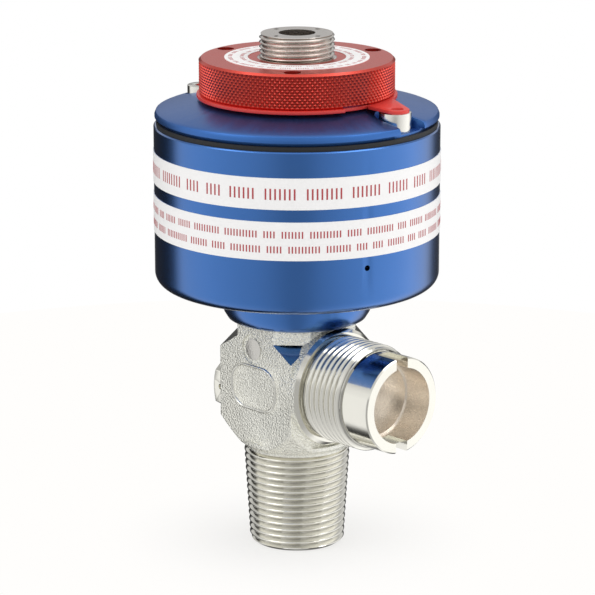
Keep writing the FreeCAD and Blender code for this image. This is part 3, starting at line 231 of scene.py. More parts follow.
# Softly edged copies of CAD nodes: node, body, finish, bevel
SKINS = [("actuator_housing", "valve", "blue", 0.15 * MM),
         ("cover", "valve", "blue_lid", 0.2 * MM),
         ("cover_screws", "valve", "zinc", 0.35 * MM),
         ("seal_plate", "lock_ring", "red_plate", 0.12 * MM),
         ("relief_plug", "valve", "machined", 0.2 * MM)]

# Finish of every CAD node, also of those that a piece stands for
NODE_FINISH = {
    "burst_disc": "steel", "relief_washer": "copper", "relief_plug": "machined",
    "diaphragms": "steel", "clamp_ring": "steel", "spindle_guide": "brass",
    "return_springs": "steel", "bonnet": "steel", "stem_seal": "rubber",
    "bonnet_gasket": "fibre", "disc_springs": "steel", "cover_seal": "rubber",
    "spigot_seal": "rubber", "thrust_washer": "white_plastic", "piston": "aluminium",
    "piston_seal": "rubber", "piston_ring": "white_plastic", "spring_guide": "steel",
    "valve_stem": "stainless", "seat_holder": "brass", "seat_disc": "white_plastic",
    "plate_screws": "zinc", "cover_gasket": "rubber", "upper_band": "white_print",
    "lower_band": "white_print", "ring_label": "white_print", "valve_body": "forging",
    "actuator_housing": "blue", "cover": "blue_lid", "cover_screws": "zinc",
    "air_spigot": "stainless", "knurled_ring": "red", "seal_plate": "red_plate",
}


def camera_and_stage():
    """Camera, pale floor, and a plain soft studio made of the world and two lamps."""
    back = Vector((math.sin(VIEW_AZIMUTH) * math.cos(VIEW_PITCH),
                   -math.cos(VIEW_AZIMUTH) * math.cos(VIEW_PITCH),
                   math.sin(VIEW_PITCH)))
    side = Vector((math.cos(VIEW_AZIMUTH), math.sin(VIEW_AZIMUTH), 0))
    data = bpy.data.cameras.new("view")
    data.lens = FOCAL_LENGTH
    data.sensor_width = SENSOR_WIDTH
    data.clip_start, data.clip_end = VIEW_CLIP
    camera = bpy.data.objects.new("view", data)
    camera.location = (Vector((0, 0, VIEW_TARGET_HEIGHT)) + back * VIEW_DISTANCE
                       + side * VIEW_SIDE_OFFSET)
    camera.rotation_mode = "QUATERNION"
    camera.rotation_quaternion = (-back).to_track_quat("-Z", "Y")
    bpy.context.scene.collection.objects.link(camera)
    bpy.context.scene.camera = camera
    bpy.context.scene.view_settings.view_transform = "Standard"
    make_floor()
    make_world()
    for name, relative_azimuth, elevation, power in LAMPS:
        soft_lamp(name, direction(relative_azimuth, elevation), power)


def direction(relative_azimuth, elevation):
    """Unit vector at an azimuth counted from the camera's, to the right, and an elevation."""
    azimuth = VIEW_AZIMUTH - math.pi / 2 + math.radians(relative_azimuth)
    rise = math.radians(elevation)
    return Vector((math.cos(azimuth) * math.cos(rise), math.sin(azimuth) * math.cos(rise),
                   math.sin(rise)))


def soft_lamp(name, toward, power):
    """Square lamp that faces the object from a direction."""
    data = bpy.data.lights.new(name, "AREA")
    data.shape = "SQUARE"
    data.size = LAMP_SIZE
    data.energy = power
    lamp = bpy.data.objects.new(name, data)
    lamp.location = Vector((0, 0, VIEW_TARGET_HEIGHT)) + toward * LAMP_DISTANCE
    lamp.rotation_mode = "QUATERNION"
    lamp.rotation_quaternion = (-toward).to_track_quat("-Z", "Y")
    bpy.context.scene.collection.objects.link(lamp)


def make_world():
    """Direction-dependent studio. Upright walls see the low ramp, the tops see the high one."""
    world = bpy.data.worlds.new("studio")
    bpy.context.scene.world = world
    world.use_nodes = True
    nodes, links = world.node_tree.nodes, world.node_tree.links
    nodes.clear()
    out = nodes.new("ShaderNodeOutputWorld")
    coords = nodes.new("ShaderNodeTexCoord")
    split = nodes.new("ShaderNodeSeparateXYZ")
    links.new(coords.outputs["Generated"], split.inputs[0])
    rise = split.outputs["Z"]
    angle = math_node(nodes, links, "ARCTAN2", split.outputs["Y"], split.outputs["X"])
    turned = math_node(nodes, links, "ADD", angle, math.pi / 2 - VIEW_AZIMUTH + math.pi)
    share = math_node(nodes, links, "DIVIDE", turned, FULL_TURN)
    wrapped = math_node(nodes, links, "WRAP", share, 1.0, 0.0)
    low = grey_ramp(nodes, links, wrapped, LOW_STUDIO)
    high = grey_ramp(nodes, links, wrapped, HIGH_STUDIO)
    tall = math_node(nodes, links, "MULTIPLY_ADD", rise, 0.5, 0.5)
    toward = math_node(nodes, links, "MULTIPLY", split.outputs["X"], math.sin(VIEW_AZIMUTH))
    toward = math_node(nodes, links, "MULTIPLY_ADD", split.outputs["Y"], -math.cos(VIEW_AZIMUTH),
                       toward)
    height = blend(nodes, links, toward, BACK_TO_FRONT,
                   grey_ramp(nodes, links, tall, BACK_BY_HEIGHT),
                   grey_ramp(nodes, links, tall, FRONT_BY_HEIGHT))
    low = math_node(nodes, links, "MULTIPLY", low, height)
    high = math_node(nodes, links, "MULTIPLY", high, height)
    walls = blend(nodes, links, rise, LOW_TO_HIGH, low, high)
    level = blend(nodes, links, rise, HIGH_TO_ZENITH, walls, ZENITH_LEVEL)
    light = nodes.new("ShaderNodeBackground")
    links.new(level, light.inputs["Color"])
    white = nodes.new("ShaderNodeBackground")
    white.inputs["Color"].default_value = (1, 1, 1, 1)
    path = nodes.new("ShaderNodeLightPath")
    seen = mix_shaders(nodes, links, path.outputs["Is Camera Ray"], light, white)
    links.new(seen.outputs[0], out.inputs["Surface"])


def blend(nodes, links, value, limits, first, second):
    """From first to second as the value goes from the lower limit to the upper."""
    share = nodes.new("ShaderNodeMapRange")
    share.inputs["From Min"].default_value, share.inputs["From Max"].default_value = limits
    links.new(value, share.inputs["Value"])
    mix = nodes.new("ShaderNodeMix")
    links.new(share.outputs[0], mix.inputs["Factor"])
    for socket, item in ((mix.inputs["A"], first), (mix.inputs["B"], second)):
        set_or_link(links, socket, item)
    return mix.outputs["Result"]


def set_or_link(links, socket, item):
    """Give a socket a plain number, or another node's output."""
    if isinstance(item, (int, float)):
        socket.default_value = item
    else:
        links.new(item, socket)


def math_node(nodes, links, operation, *inputs):
    node = nodes.new("ShaderNodeMath")
    node.operation = operation
    for socket, item in zip(node.inputs, inputs):
        set_or_link(links, socket, item)
    return node.outputs[0]


def mix_shaders(nodes, links, factor, first, second):
    """Node that mixes the outputs of two shader nodes."""
    mix = nodes.new("ShaderNodeMixShader")
    links.new(factor, mix.inputs["Fac"])
    links.new(first.outputs[0], mix.inputs[1])
    links.new(second.outputs[0], mix.inputs[2])
    return mix


def grey_ramp(nodes, links, value, stops):
    """Colour ramp of (place, grey level) stops, where the value goes from 0 to 1 over them."""
    ramp = nodes.new("ShaderNodeValToRGB")
    links.new(value, ramp.inputs[0])
    elements = ramp.color_ramp.elements
    while len(elements) > 1:
        elements.remove(elements[-1])
    first, last = stops[0][0], stops[-1][0]
    for index, (place, level) in enumerate(stops):
        place = (place - first) / (last - first)
        element = elements[0] if index == 0 else elements.new(place)
        element.position = place
        element.color = (level, level, level, 1)
    return ramp.outputs["Color"]


def make_floor():
    """Pale disc that keeps the contact shadow and fades to the white background."""
    points = [(0, 0, 0)]
    for ring in range(1, FLOOR_RINGS + 1):
        points += [(x, y, 0) for x, y in circle(FLOOR_RADIUS * ring / FLOOR_RINGS, FLOOR_SECTORS)]
    faces = [(0, 1 + a, 1 + (a + 1) % FLOOR_SECTORS) for a in range(FLOOR_SECTORS)]
    for inner in range(1, len(points) - FLOOR_SECTORS, FLOOR_SECTORS):
        faces += wall(inner + FLOOR_SECTORS, inner, FLOOR_SECTORS)
    floor = mesh_object("floor", points, faces)
    material, nodes, links, shader = new_material("floor")
    shader.inputs["Base Color"].default_value = FLOOR_COLOUR
    shader.inputs["Roughness"].default_value = FLOOR_ROUGHNESS
    coords = nodes.new("ShaderNodeTexCoord")
    length = nodes.new("ShaderNodeVectorMath")
    length.operation = "LENGTH"
    links.new(coords.outputs["Object"], length.inputs[0])
    fade = nodes.new("ShaderNodeMapRange")
    fade.interpolation_type = "SMOOTHSTEP"
    fade.inputs["From Min"].default_value = 0.0
    fade.inputs["From Max"].default_value = FLOOR_FADE
    fade.inputs["To Min"].default_value = FLOOR_GLOW
    links.new(length.outputs["Value"], fade.inputs["Value"])
    path = nodes.new("ShaderNodeLightPath")
    share = math_node(nodes, links, "MULTIPLY", fade.outputs[0], path.outputs["Is Camera Ray"])
    clear = nodes.new("ShaderNodeBsdfTransparent")
    glow = nodes.new("ShaderNodeEmission")
    glow.inputs["Color"].default_value = FLOOR_GLOW_COLOUR
    seen = mix_shaders(nodes, links, share, shader, glow)
    mixed = mix_shaders(nodes, links, path.outputs["Is Glossy Ray"], seen, clear)
    links.new(mixed.outputs[0], nodes["Material Output"].inputs["Surface"])
    floor.data.materials.append(material)


def circle(radius, sides, centre=(0, 0)):
    """Corners of a regular polygon round a centre, as pairs."""
    turns = [FULL_TURN * side / sides for side in range(sides)]
    return [(centre[0] + radius * math.cos(turn), centre[1] + radius * math.sin(turn))
            for turn in turns]


def wall(low, high, sides):
    """Faces between two closed rings of points, which are given by their first points."""
    return [(low + side, low + (side + 1) % sides, high + (side + 1) % sides, high + side)
            for side in range(sides)]


def mesh_object(name, points, faces):
    mesh = bpy.data.meshes.new(name)
    mesh.from_pydata(points, [], faces)
    mesh.validate()
    thing = bpy.data.objects.new(name, mesh)
    bpy.context.scene.collection.objects.link(thing)
    return thing


def new_material(name):
    material = bpy.data.materials.new(name)
    material.use_nodes = True
    nodes, links = material.node_tree.nodes, material.node_tree.links
    return material, nodes, links, nodes["Principled BSDF"]


def noise(nodes, links, scale, detail, stretch=(1, 1, 1)):
    """Object-space noise, its scale in cells per metre."""
    coords = nodes.new("ShaderNodeTexCoord")
    mapping = nodes.new("ShaderNodeMapping")
    mapping.inputs["Scale"].default_value = stretch
    links.new(coords.outputs["Object"], mapping.inputs["Vector"])
    texture = nodes.new("ShaderNodeTexNoise")
    texture.inputs["Scale"].default_value = scale
    texture.inputs["Detail"].default_value = detail
    links.new(mapping.outputs[0], texture.inputs["Vector"])
    return texture.outputs["Fac"]


def ranged(nodes, links, value, low, high):
    """The noise's usual spread, stretched to run from low to high."""
    spread = nodes.new("ShaderNodeMapRange")
    spread.inputs["From Min"].default_value, spread.inputs["From Max"].default_value = NOISE_SPREAD
    spread.inputs["To Min"].default_value = low
    spread.inputs["To Max"].default_value = high
    links.new(value, spread.inputs["Value"])
    return spread.outputs[0]


def bump(nodes, links, shader, height, distance, strength):
    node = nodes.new("ShaderNodeBump")
    node.inputs["Distance"].default_value = distance
    node.inputs["Strength"].default_value = strength
    links.new(height, node.inputs["Height"])
    links.new(node.outputs[0], shader.inputs["Normal"])
    return node


def colour_mix(nodes, links, factor):
    """Mix node for two colours, steered by a factor."""
    mix = nodes.new("ShaderNodeMix")
    mix.data_type = "RGBA"
    links.new(factor, mix.inputs["Factor"])
    return mix


def scaled(colour, share):
    """RGBA of a colour made darker or lighter, with no channel over 1."""
    return (*[min(1.0, channel * share) for channel in colour], 1)


def metal(name, colour, roughness, spread, grain_scale, stretch=(1, 1, 1), grain=0.15,
          grain_height=0.02 * MM, tint=0.06, coat=0.0, coat_roughness=0.12, groove=0.0,
          rounding=0.0):
    """Metal whose colour and roughness vary a little with a grain of its own.

    tint is how far the colour varies, groove how far the painted shade darkens the deepest groove,
    and rounding the radius at which edges look rounded."""
    material, nodes, links, shader = new_material(name)
    shader.inputs["Metallic"].default_value = 1.0
    grain_value = noise(nodes, links, grain_scale, METAL_GRAIN_DETAIL, stretch)
    mix = colour_mix(nodes, links, noise(nodes, links, BLOTCH_SCALE, BLOTCH_DETAIL))
    mix.inputs["A"].default_value = scaled(colour, 1 - tint)
    mix.inputs["B"].default_value = scaled(colour, 1 + tint)
    # Painted shade: in thread and knurl grooves the colour darkens towards GROOVE_SHADE of itself,
    # steered by the groove depth stored on the points
    if groove:
        deep = nodes.new("ShaderNodeAttribute")
        deep.attribute_name = PAINTED_SHADE_MASK
        shade = colour_mix(nodes, links, math_node(nodes, links, "MULTIPLY",
                                                   deep.outputs["Fac"], groove))
        links.new(mix.outputs["Result"], shade.inputs["A"])
        shade.inputs["B"].default_value = scaled(colour, GROOVE_SHADE)
        mix = shade
    links.new(mix.outputs["Result"], shader.inputs["Base Color"])
    links.new(ranged(nodes, links, grain_value, roughness - spread, roughness + spread),
              shader.inputs["Roughness"])
    surface = bump(nodes, links, shader, grain_value, grain_height, grain)
    if rounding:
        edge = nodes.new("ShaderNodeBevel")
        edge.samples = ROUNDING_SAMPLES
        edge.inputs["Radius"].default_value = rounding
        links.new(edge.outputs[0], surface.inputs["Normal"])
    if coat:
        shader.inputs["Coat Weight"].default_value = coat
        shader.inputs["Coat Roughness"].default_value = coat_roughness
    return material


def plain(name, colour, roughness, grain_scale=2500, grain=0.1):
    """Plastic, rubber, paint or print with a faint surface grain."""
    material, nodes, links, shader = new_material(name)
    value = noise(nodes, links, grain_scale, PLAIN_DETAIL)
    mix = colour_mix(nodes, links, value)
    mix.inputs["A"].default_value = scaled(colour, PLAIN_DARKER)
    mix.inputs["B"].default_value = scaled(colour, PLAIN_LIGHTER)
    links.new(mix.outputs["Result"], shader.inputs["Base Color"])
    links.new(ranged(nodes, links, value, roughness * (1 - PLAIN_GLOSS_SPREAD),
                     roughness * (1 + PLAIN_GLOSS_SPREAD)),
              shader.inputs["Roughness"])
    bump(nodes, links, shader, value, PLAIN_GRAIN_HEIGHT, grain)
    return material


def make_materials():
    """Every finish by its short name: colour, roughness, its spread, grain and the rest."""
    return {
        "forging": metal("forging", (1.0, 0.98, 0.885), 0.24, 0.06, 1900, grain=1.0,
                         grain_height=0.6 * MM, tint=0.05, rounding=0.3 * MM),
        "raised": metal("raised", (0.78, 0.77, 0.715), 0.26, 0.06, 1700, grain=0.5,
                        grain_height=0.2 * MM),
        "worn": metal("worn", (0.60, 0.585, 0.55), 0.3, 0.06, 1700, grain=0.5,
                      grain_height=0.2 * MM),
        "machined": metal("machined", (0.82, 0.805, 0.735), 0.12, 0.04, 1800, (1, 1, 6)),
        # groove is how dark the painted shade in the thread and knurl grooves gets
        "threaded": metal("threaded", (0.84, 0.825, 0.755), 0.12, 0.04, 1800, (1, 1, 6),
                          groove=0.35),
        "threaded_outlet": metal("threaded_outlet", (0.86, 0.845, 0.775), 0.12, 0.04, 1800,
                                 (1, 1, 6), groove=0.7),
        "bored": metal("bored", (0.93, 0.875, 0.80), 0.3, 0.06, 1800, (1, 1, 6)),
        # Stainless grey with a pink tint: the tint is a painted reflection of the red ring below
        # the spigot
        "stainless": metal("stainless", (0.70, 0.655, 0.61), 0.2, 0.06, 1800, (1, 1, 8),
                           groove=0.35),
        "blue": metal("blue_anodised", (0.027, 0.147, 0.47), 0.24, 0.03, 1500, (1, 1, 12),
                      grain=0.08, tint=0.05, coat=1.0, coat_roughness=0.16),
        "blue_lid": metal("blue_lid", (0.036, 0.15, 0.47), 0.42, 0.03, 1500, grain=0.08,
                          tint=0.05, coat=0.5, coat_roughness=0.35),
        "red": metal("red_anodised", (0.70, 0.085, 0.062), 0.32, 0.05, 2500, grain=0.15,
                     tint=0.08, coat=0.15, groove=0.6),
        "red_plate": plain("red_plate", (0.74, 0.05, 0.04), 0.35),
        "white_print": plain("white_print", (0.97, 0.96, 0.955), 0.45, 1200, 0.05),
        "red_print": plain("red_print", (0.46, 0.055, 0.065), 0.4, 1200, 0.05),
        "rubber": plain("rubber", (0.010, 0.010, 0.010), 0.6),
        "steel": metal("steel", (0.55, 0.55, 0.54), 0.3, 0.06, 1500),
        "zinc": metal("zinc", (0.80, 0.785, 0.73), 0.18, 0.05, 1500, (1, 1, 5)),
        "brass": metal("brass", (0.72, 0.55, 0.28), 0.28, 0.05, 1500),
        "copper": metal("copper", (0.70, 0.38, 0.25), 0.3, 0.05, 1500),
        "white_plastic": plain("white_plastic", (0.86, 0.86, 0.84), 0.45),
        "fibre": plain("fibre", (0.22, 0.24, 0.22), 0.7),
        "aluminium": metal("aluminium", (0.74, 0.74, 0.75), 0.3, 0.05, 1500, (1, 1, 8)),
    }


def finish_nodes(materials):
    """Give every carried-over CAD node its finish."""
    for name, finish in NODE_FINISH.items():
        slots = NODES[name].data.materials
        slots.clear()
        slots.append(materials[finish])


def skin(node, body, finish):
    """A welded copy of a CAD node's mesh that stands for the node."""
    mesh = NODES[node].data.copy()
    mesh.name = node + "_skin"
    build = bmesh.new()
    build.from_mesh(mesh)
    bmesh.ops.remove_doubles(build, verts=build.verts, dist=WELD)
    bmesh.ops.dissolve_limit(build, angle_limit=FLAT_ANGLE, verts=build.verts,
                             edges=build.edges)
    build.to_mesh(mesh)
    build.free()
    mesh.materials.clear()
    mesh.materials.append(finish)
    piece = bpy.data.objects.new(mesh.name, mesh)
    bpy.context.scene.collection.objects.link(piece)
    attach(piece, body)
    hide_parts(node)
    return piece


def soften(piece, width):
    """Bevel the piece's sharp edges."""
    modifier = piece.modifiers.new("edges", "BEVEL")
    modifier.width = width
    modifier.segments = BEVEL_SEGMENTS
    modifier.limit_method = "ANGLE"
    modifier.angle_limit = math.radians(BEVEL_FROM_ANGLE)
    modifier.harden_normals = False
    apply_modifiers(piece)


def smooth(piece, angle=SHARP_ANGLE):
    """Smooth shading, with edges sharper than the angle kept."""
    mesh = piece.data
    for polygon in mesh.polygons:
        polygon.use_smooth = True
    build = bmesh.new()
    build.from_mesh(mesh)
    for edge in build.edges:
        if len(edge.link_faces) == 2:
            edge.smooth = edge.calc_face_angle(0) < math.radians(angle)
    build.to_mesh(mesh)
    build.free()


def face_outwards(piece):
    """Turn every face outwards."""
    build = bmesh.new()
    build.from_mesh(piece.data)
    bmesh.ops.recalc_face_normals(build, faces=build.faces)
    build.to_mesh(piece.data)
    build.free()


def apply_modifiers(piece):
    graph = bpy.context.evaluated_depsgraph_get()
    mesh = bpy.data.meshes.new_from_object(piece.evaluated_get(graph))
    piece.modifiers.clear()
    piece.data = mesh


def tube(name, inner, outer, low, high, turn=UPRIGHT):
    """Plain closed ring about Z, used as a cutter."""
    corners = ((inner, low), (outer, low), (outer, high), (inner, high))
    points, faces = [], []
    for row, (radius, level) in enumerate(corners):
        points += [(x, y, level) for x, y in circle(radius, AROUND)]
        faces += wall(row * AROUND, (row + 1) % len(corners) * AROUND, AROUND)
    thing = mesh_object(name, points, faces)
    thing.data.transform(turn)
    return thing


def round_cutter(name, radius, centre, low, high):
    """Upright peg, used as a cutter."""
    sides = SPANNER_HOLE_SIDES
    points = [(x, y, level) for level in (low, high) for x, y in circle(radius, sides, centre)]
    faces = [tuple(range(sides - 1, -1, -1)), tuple(range(sides, 2 * sides))]
    return mesh_object(name, points, faces + wall(0, sides, sides))


def cut_away(piece, cutters):
    """Take the cutters out of the piece and delete them."""
    for cutter in cutters:
        modifier = piece.modifiers.new("cut", "BOOLEAN")
        modifier.operation = "DIFFERENCE"
        modifier.solver = "EXACT"
        modifier.object = cutter
        bpy.context.view_layer.update()
        apply_modifiers(piece)
        bpy.data.objects.remove(cutter)


def sleeve(name, levels, radii, inner, finish, grooves, turn=UPRIGHT):
    """Closed sleeve about Z: radii has a row of outer radii for each level, inner is its bore.

    grooves says how deep each outer point lies in its groove, from 0 at the crest to 1; it goes on
    the points and steers the painted groove shade."""
    rows, sides = radii.shape
    angles = np.arange(sides) * FULL_TURN / sides
    outer = np.stack([radii * np.cos(angles), radii * np.sin(angles),
                      np.repeat(levels[:, None], sides, 1)], -1).reshape(-1, 3)
    bore = np.array([[inner * math.cos(angle), inner * math.sin(angle), level]
                     for level in (levels[0], levels[-1]) for angle in angles])
    last, first_bore, last_bore = (rows - 1) * sides, rows * sides, (rows + 1) * sides
    faces = []
    for row in range(rows - 1):
        faces += wall(row * sides, (row + 1) * sides, sides)
    for low, high in ((last, last_bore), (last_bore, first_bore), (first_bore, 0)):
        faces += wall(low, high, sides)
    piece = mesh_object(name, np.concatenate([outer, bore]).tolist(), faces)
    piece.data.transform(turn)
    piece.data.materials.append(finish)
    smooth(piece, SLEEVE_SHARP_ANGLE)
    # The groove depth goes on the points, where it steers the painted shade
    layer = piece.data.attributes.new(PAINTED_SHADE_MASK, "FLOAT", "POINT")
    layer.data.foreach_set("value", np.concatenate([grooves.ravel(), np.zeros(2 * sides)]))
    return piece


def thread_profile(phase):
    """Height from 0 at the root to 1 at the crest, with a flat crest and a narrow root."""
    distance = np.abs(phase - np.floor(phase) - 0.5) * 2
    return np.clip((1 - distance - ROOT_SHARE) / FLANK_SHARE, 0, 1)


def thread(name, low, high, low_radius, high_radius, pitch, finish, turn=UPRIGHT,
           run_in=0.0, run_out=0.0):
    """Helical thread sleeve between two levels; crests run from low_radius to high_radius.

    Over run_in and run_out, at its low and high ends, the crests fall to the root."""
    depth = pitch * THREAD_DEPTH_SHARE
    rows = round((high - low) / pitch * SAMPLES_PER_PITCH) + 1
    levels = np.linspace(low, high, rows)
    angles = np.arange(AROUND) * FULL_TURN / AROUND
    phase = levels[:, None] / pitch - angles[None, :] / FULL_TURN
    crest = np.interp(levels, (low, high), (low_radius, high_radius))[:, None]
    radii = crest - depth * (1 - thread_profile(phase))
    for fade, from_end in ((run_in, levels - low), (run_out, high - levels)):
        if fade:
            radii = np.minimum(radii, crest - depth + (from_end * depth / fade)[:, None])
    # Painted shade mask for the roots: the groove depth, cubed to keep it near the root
    grooves = np.clip((crest - radii) / depth, 0, 1) ** 3
    inner = min(low_radius, high_radius) - depth - THREAD_WALL
    return sleeve(name, levels, radii, inner, finish, grooves, turn)


def make_body(materials):
    """Forged body: the CAD mesh with its thread zones turned down, and threads on them."""
    outlet_turn = Matrix.Translation((0, 0, OUTLET_HEIGHT)) @ Matrix.Rotation(math.pi / 2, 4, "Y")
    body = skin("valve_body", "valve", materials["forging"])
    inlet_low_radius = INLET_RADIUS - INLET_TAPER * INLET_LENGTH
    cut_away(body, [
        tube("inlet_cutter", inlet_low_radius - INLET_PITCH * THREAD_DEPTH_SHARE - CUT_MARGIN,
             INLET_RADIUS + CUT_OUTSIDE, -CUT_BELOW, INLET_LENGTH),
        tube("outlet_cutter", OUTLET_RADIUS - OUTLET_PITCH * THREAD_DEPTH_SHARE - CUT_MARGIN,
             OUTLET_RADIUS + CUT_OUTSIDE, OUTLET_BOSS_END, OUTLET_THREAD_END, outlet_turn),
    ])
    body.data.materials.append(materials["machined"])
    body.data.materials.append(materials["bored"])
    mark_machined(body, outlet_turn)
    smooth(body, BODY_SHARP_ANGLE)
    inlet = thread("inlet_thread", 0, INLET_LENGTH, inlet_low_radius, INLET_RADIUS,
                   INLET_PITCH, materials["threaded"], run_in=INLET_RUN_IN)
    outlet = thread("outlet_thread", OUTLET_BOSS_END, OUTLET_THREAD_END, OUTLET_RADIUS,
                    OUTLET_RADIUS, OUTLET_PITCH, materials["threaded_outlet"], outlet_turn,
                    OUTLET_RUN_IN, OUTLET_RUN_OUT)
    relief = front_relief(materials["raised"], materials["worn"])
    for piece in (inlet, outlet, relief):
        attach(piece, "valve")


def mark_machined(body, outlet_turn):
    """Turned and bored faces get finishes of their own, forged ones keep theirs."""
    back = outlet_turn.inverted()
    for polygon in body.data.polygons:
        centre, normal = polygon.center, polygon.normal
        local = back @ centre
        from_axis = math.hypot(centre.x, centre.y)
        from_outlet = math.hypot(local.x, local.y)
        in_outlet_bore = (from_outlet < OUTLET_BORE and local.z > OUTLET_BOSS_END
                          and (local.z < OUTLET_FLOOR or abs(normal.x) < BORE_WALL_TILT))
        on_outlet = local.z > OUTLET_BOSS_END - OUTLET_FACING and from_outlet < OUTLET_REACH
        on_stem = centre.z < COLLAR_TOP + TOUCH
        in_valve_bore = from_axis < VALVE_BORE_REACH and centre.z > 0
        on_facet = (centre.z > FACET_START and normal.z > FACET_TILT
                    and min(abs(normal.x), abs(normal.y)) > FACET_TILT)
        if in_outlet_bore:
            polygon.material_index = BORED_SLOT
        elif on_outlet or on_stem or in_valve_bore or on_facet:
            polygon.material_index = MACHINED_SLOT


def front_relief(frame_finish, disc_finish):
    """Low forged relief on the front: a bare rounded frame, and a disc in the round spot."""
    points, faces = [], []
    add_frame_bead(points, faces)
    frame_faces = len(faces)
    add_spot_disc(points, faces)
    piece = mesh_object("front_relief", points, faces)
    face_outwards(piece)
    piece.data.materials.append(frame_finish)
    piece.data.materials.append(disc_finish)
    for index, polygon in enumerate(piece.data.polygons):
        polygon.material_index = int(index >= frame_faces)
    smooth(piece, RELIEF_SHARP_ANGLE)
    return piece


def add_frame_bead(points, faces):
    """Add a rounded rectangle of bead on the body's front."""
    half_wide, half_tall = (FRAME_RIGHT - FRAME_LEFT) / 2, (FRAME_HIGH - FRAME_LOW) / 2
    middle_x, middle_z = (FRAME_RIGHT + FRAME_LEFT) / 2, (FRAME_HIGH + FRAME_LOW) / 2
    path = []
    for corner, (side, end) in enumerate(((1, 1), (-1, 1), (-1, -1), (1, -1))):
        for step in range(FRAME_CORNER_STEPS + 1):
            path.append((middle_x + side * (half_wide - FRAME_CORNER),
                         middle_z + end * (half_tall - FRAME_CORNER),
                         (corner + step / FRAME_CORNER_STEPS) * math.pi / 2))
    wide = len(FRAME_PROFILE)
    for step, (x, z, angle) in enumerate(path):
        for across, up in FRAME_PROFILE:
            reach = FRAME_CORNER + across * FRAME_LINE
            points.append((x + reach * math.cos(angle), -BODY_HALF_DEPTH - up * FRAME_RISE,
                           z + reach * math.sin(angle)))
        faces += wall(step * wide, (step + 1) % len(path) * wide, wide)


def add_spot_disc(points, faces):
    """Add a low disc with a softened edge on the floor of the round spot."""
    floor = -BODY_HALF_DEPTH + SPOT_DEPTH
    rings = [(SPOT_DISC, floor + SPOT_SUNK),
             (SPOT_DISC, floor - SPOT_DEPTH * SPOT_EDGE_SHARE),
             (SPOT_DISC - SPOT_EDGE, floor - SPOT_DEPTH * SPOT_TOP_SHARE)]
    first = len(points)
    for radius, level in rings:
        points += [(x, level, z) for x, z in circle(radius, SPOT_SIDES, (SPOT_X, SPOT_Z))]
    for low in range(first, len(points) - SPOT_SIDES, SPOT_SIDES):
        faces += wall(low, low + SPOT_SIDES, SPOT_SIDES)
    faces.append(tuple(range(len(points) - SPOT_SIDES, len(points))))
    faces.append(tuple(range(first + SPOT_SIDES - 1, first - 1, -1)))


def make_ring(materials):
    """Knurled lock ring: the CAD mesh with its rim turned down, and a diamond knurl on it."""
    lowest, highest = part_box("knurled_ring")
    radius = highest.x
    low = lowest.z + RING_CHAMFER
    high = highest.z - RING_CHAMFER
    ring = skin("knurled_ring", "lock_ring", materials["red"])
    cut_away(ring, [tube("knurl_cutter", radius - RING_CUT, radius + CUT_OUTSIDE, low, high)])
    smooth(ring)
    rows = round((high - low) / KNURL_CELL * KNURL_STEPS) + 1
    levels = np.linspace(low, high, rows)
    across = np.arange(KNURL_AROUND * KNURL_STEPS)[None, :] / KNURL_STEPS
    up = (levels[:, None] - low) / KNURL_CELL
    rising = 0.5 - np.abs((across + up) % 1.0 - 0.5)
    falling = 0.5 - np.abs((across - up) % 1.0 - 0.5)
    grooves = np.clip(1 - np.minimum(rising, falling) / KNURL_FLANK, 0, 1)
    from_edge = np.minimum(levels - low, high - levels)[:, None]
    radii = np.minimum(radius - KNURL_DEPTH * grooves,
                       radius - KNURL_EDGE + from_edge * KNURL_EDGE_SLOPE)
    # The knurl's hollows get painted shade, steered by the groove depth squared
    knurl = sleeve("ring_knurl", levels, radii, radius - KNURL_WALL, materials["red"],
                   grooves ** 2)
    smooth(knurl, KNURL_SHARP_ANGLE)
    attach(knurl, "lock_ring")


def make_spigot(materials):
    """Air spigot: the CAD mesh with its upper end turned down, a thread, and spanner holes."""
    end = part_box("air_spigot")[1].z
    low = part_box("knurled_ring")[1].z + SPIGOT_END_GAP
    high = end - SPIGOT_END_GAP
    spigot = skin("air_spigot", "valve", materials["stainless"])
    cutters = [tube("spigot_cutter",
                    SPIGOT_RADIUS - SPIGOT_PITCH * THREAD_DEPTH_SHARE - SPIGOT_CUT_MARGIN,
                    SPIGOT_RADIUS + SPIGOT_CUT_OUTSIDE, low, high)]
    for index, angle in enumerate(math.radians(degrees) for degrees in SPANNER_HOLE_ANGLES):
        centre = (SPANNER_HOLE_DISTANCE * math.cos(angle), SPANNER_HOLE_DISTANCE * math.sin(angle))
        cutters.append(round_cutter(f"spanner_hole_{index}", SPANNER_HOLE_RADIUS, centre,
                                    end - SPANNER_HOLE_DEPTH, end + SPANNER_HOLE_ABOVE))
    cut_away(spigot, cutters)
    smooth(spigot)
    outer = thread("spigot_thread", low, high, SPIGOT_RADIUS, SPIGOT_RADIUS, SPIGOT_PITCH,
                   materials["stainless"], run_in=SPIGOT_RUN_IN, run_out=SPIGOT_RUN_OUT)
    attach(outer, "valve")


def make_skins(materials):
    """Softly edged copies of the outer CAD nodes that need nothing else."""
    for node, body, finish, bevel in SKINS:
        piece = skin(node, body, materials[finish])
        soften(piece, bevel)
        smooth(piece, SKIN_SHARP_ANGLE)
        record_slot(node)


def record_slot(node):
    """Material slot that the record gives a CAD node."""
    return next(part["material_slot"] for part in frame["record"]["subparts"]
                if part["node"] == node)


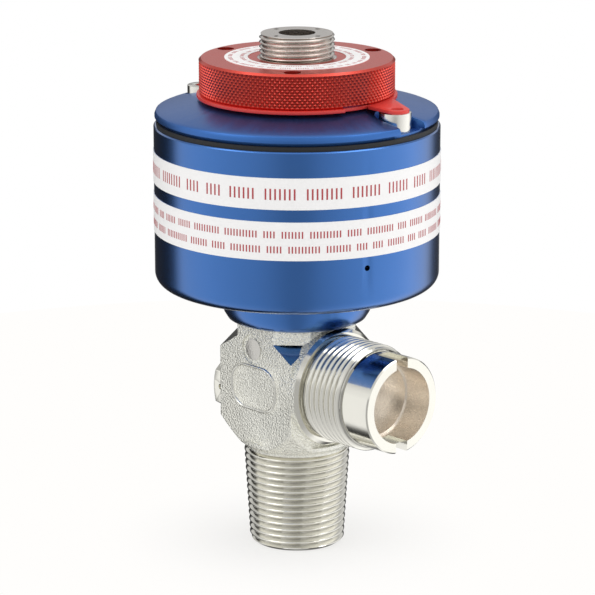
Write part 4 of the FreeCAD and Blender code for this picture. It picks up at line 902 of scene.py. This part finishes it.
def stroke_turns(rng, reach, stroke, gap, space, group):
    """Start and end angles of strokes in groups of random size, all round at a radius."""
    angle = MARK_START
    while angle < MARK_START + FULL_TURN - MARK_CLOSING_SPACES * space / reach:
        for _ in range(int(rng.integers(*group))):
            yield angle, angle + stroke / reach
            angle += (stroke + gap) / reach
        angle += space / reach


def add_block(points, faces, turns, radii, levels):
    """Add a six-sided block about Z, between two angles, two radii and two levels."""
    first = len(points)
    points += [(radius * math.cos(turn), radius * math.sin(turn), level)
               for turn in turns for radius in radii for level in levels]
    faces += [tuple(first + corner for corner in face) for face in BLOCK_FACES]


def band_marks(name, node, rows, finish, seed):
    """Generic red marks on a band: groups of equal upright strokes, which spell nothing."""
    lowest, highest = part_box(node)
    radius = highest.x
    rng = np.random.default_rng(seed)
    points, faces = [], []
    for level, height, stroke, gap, space in rows:
        bottom = lowest.z + level
        for turns in stroke_turns(rng, radius, stroke, gap, space, BAND_GROUP):
            add_block(points, faces, turns, (radius - STROKE_SUNK, radius + STROKE_PROUD),
                      (bottom, bottom + height))
    piece = mesh_object(name, points, faces)
    piece.data.materials.append(finish)
    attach(piece, "valve")


def label_marks(rows, finish, seed):
    """Generic red marks round the ring's label: groups of equal radial strokes."""
    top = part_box("ring_label")[1].z
    rng = np.random.default_rng(seed)
    points, faces = [], []
    for start, end, stroke, gap, space in rows:
        for turns in stroke_turns(rng, end, stroke, gap, space, LABEL_GROUP):
            add_block(points, faces, turns, (start, end),
                      (top - STROKE_SUNK, top + STROKE_PROUD))
    piece = mesh_object("ring_label_marks", points, faces)
    piece.data.materials.append(finish)
    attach(piece, "lock_ring")


camera_and_stage()
MATERIALS = make_materials()
finish_nodes(MATERIALS)
make_body(MATERIALS)
make_ring(MATERIALS)
make_spigot(MATERIALS)
make_skins(MATERIALS)
band_marks("upper_band_marks", "upper_band", UPPER_ROWS, MATERIALS["red_print"], seed=3)
label_marks(LABEL_ROWS, MATERIALS["red_print"], seed=5)
band_marks("lower_band_marks", "lower_band", LOWER_ROWS, MATERIALS["red_print"], seed=7)
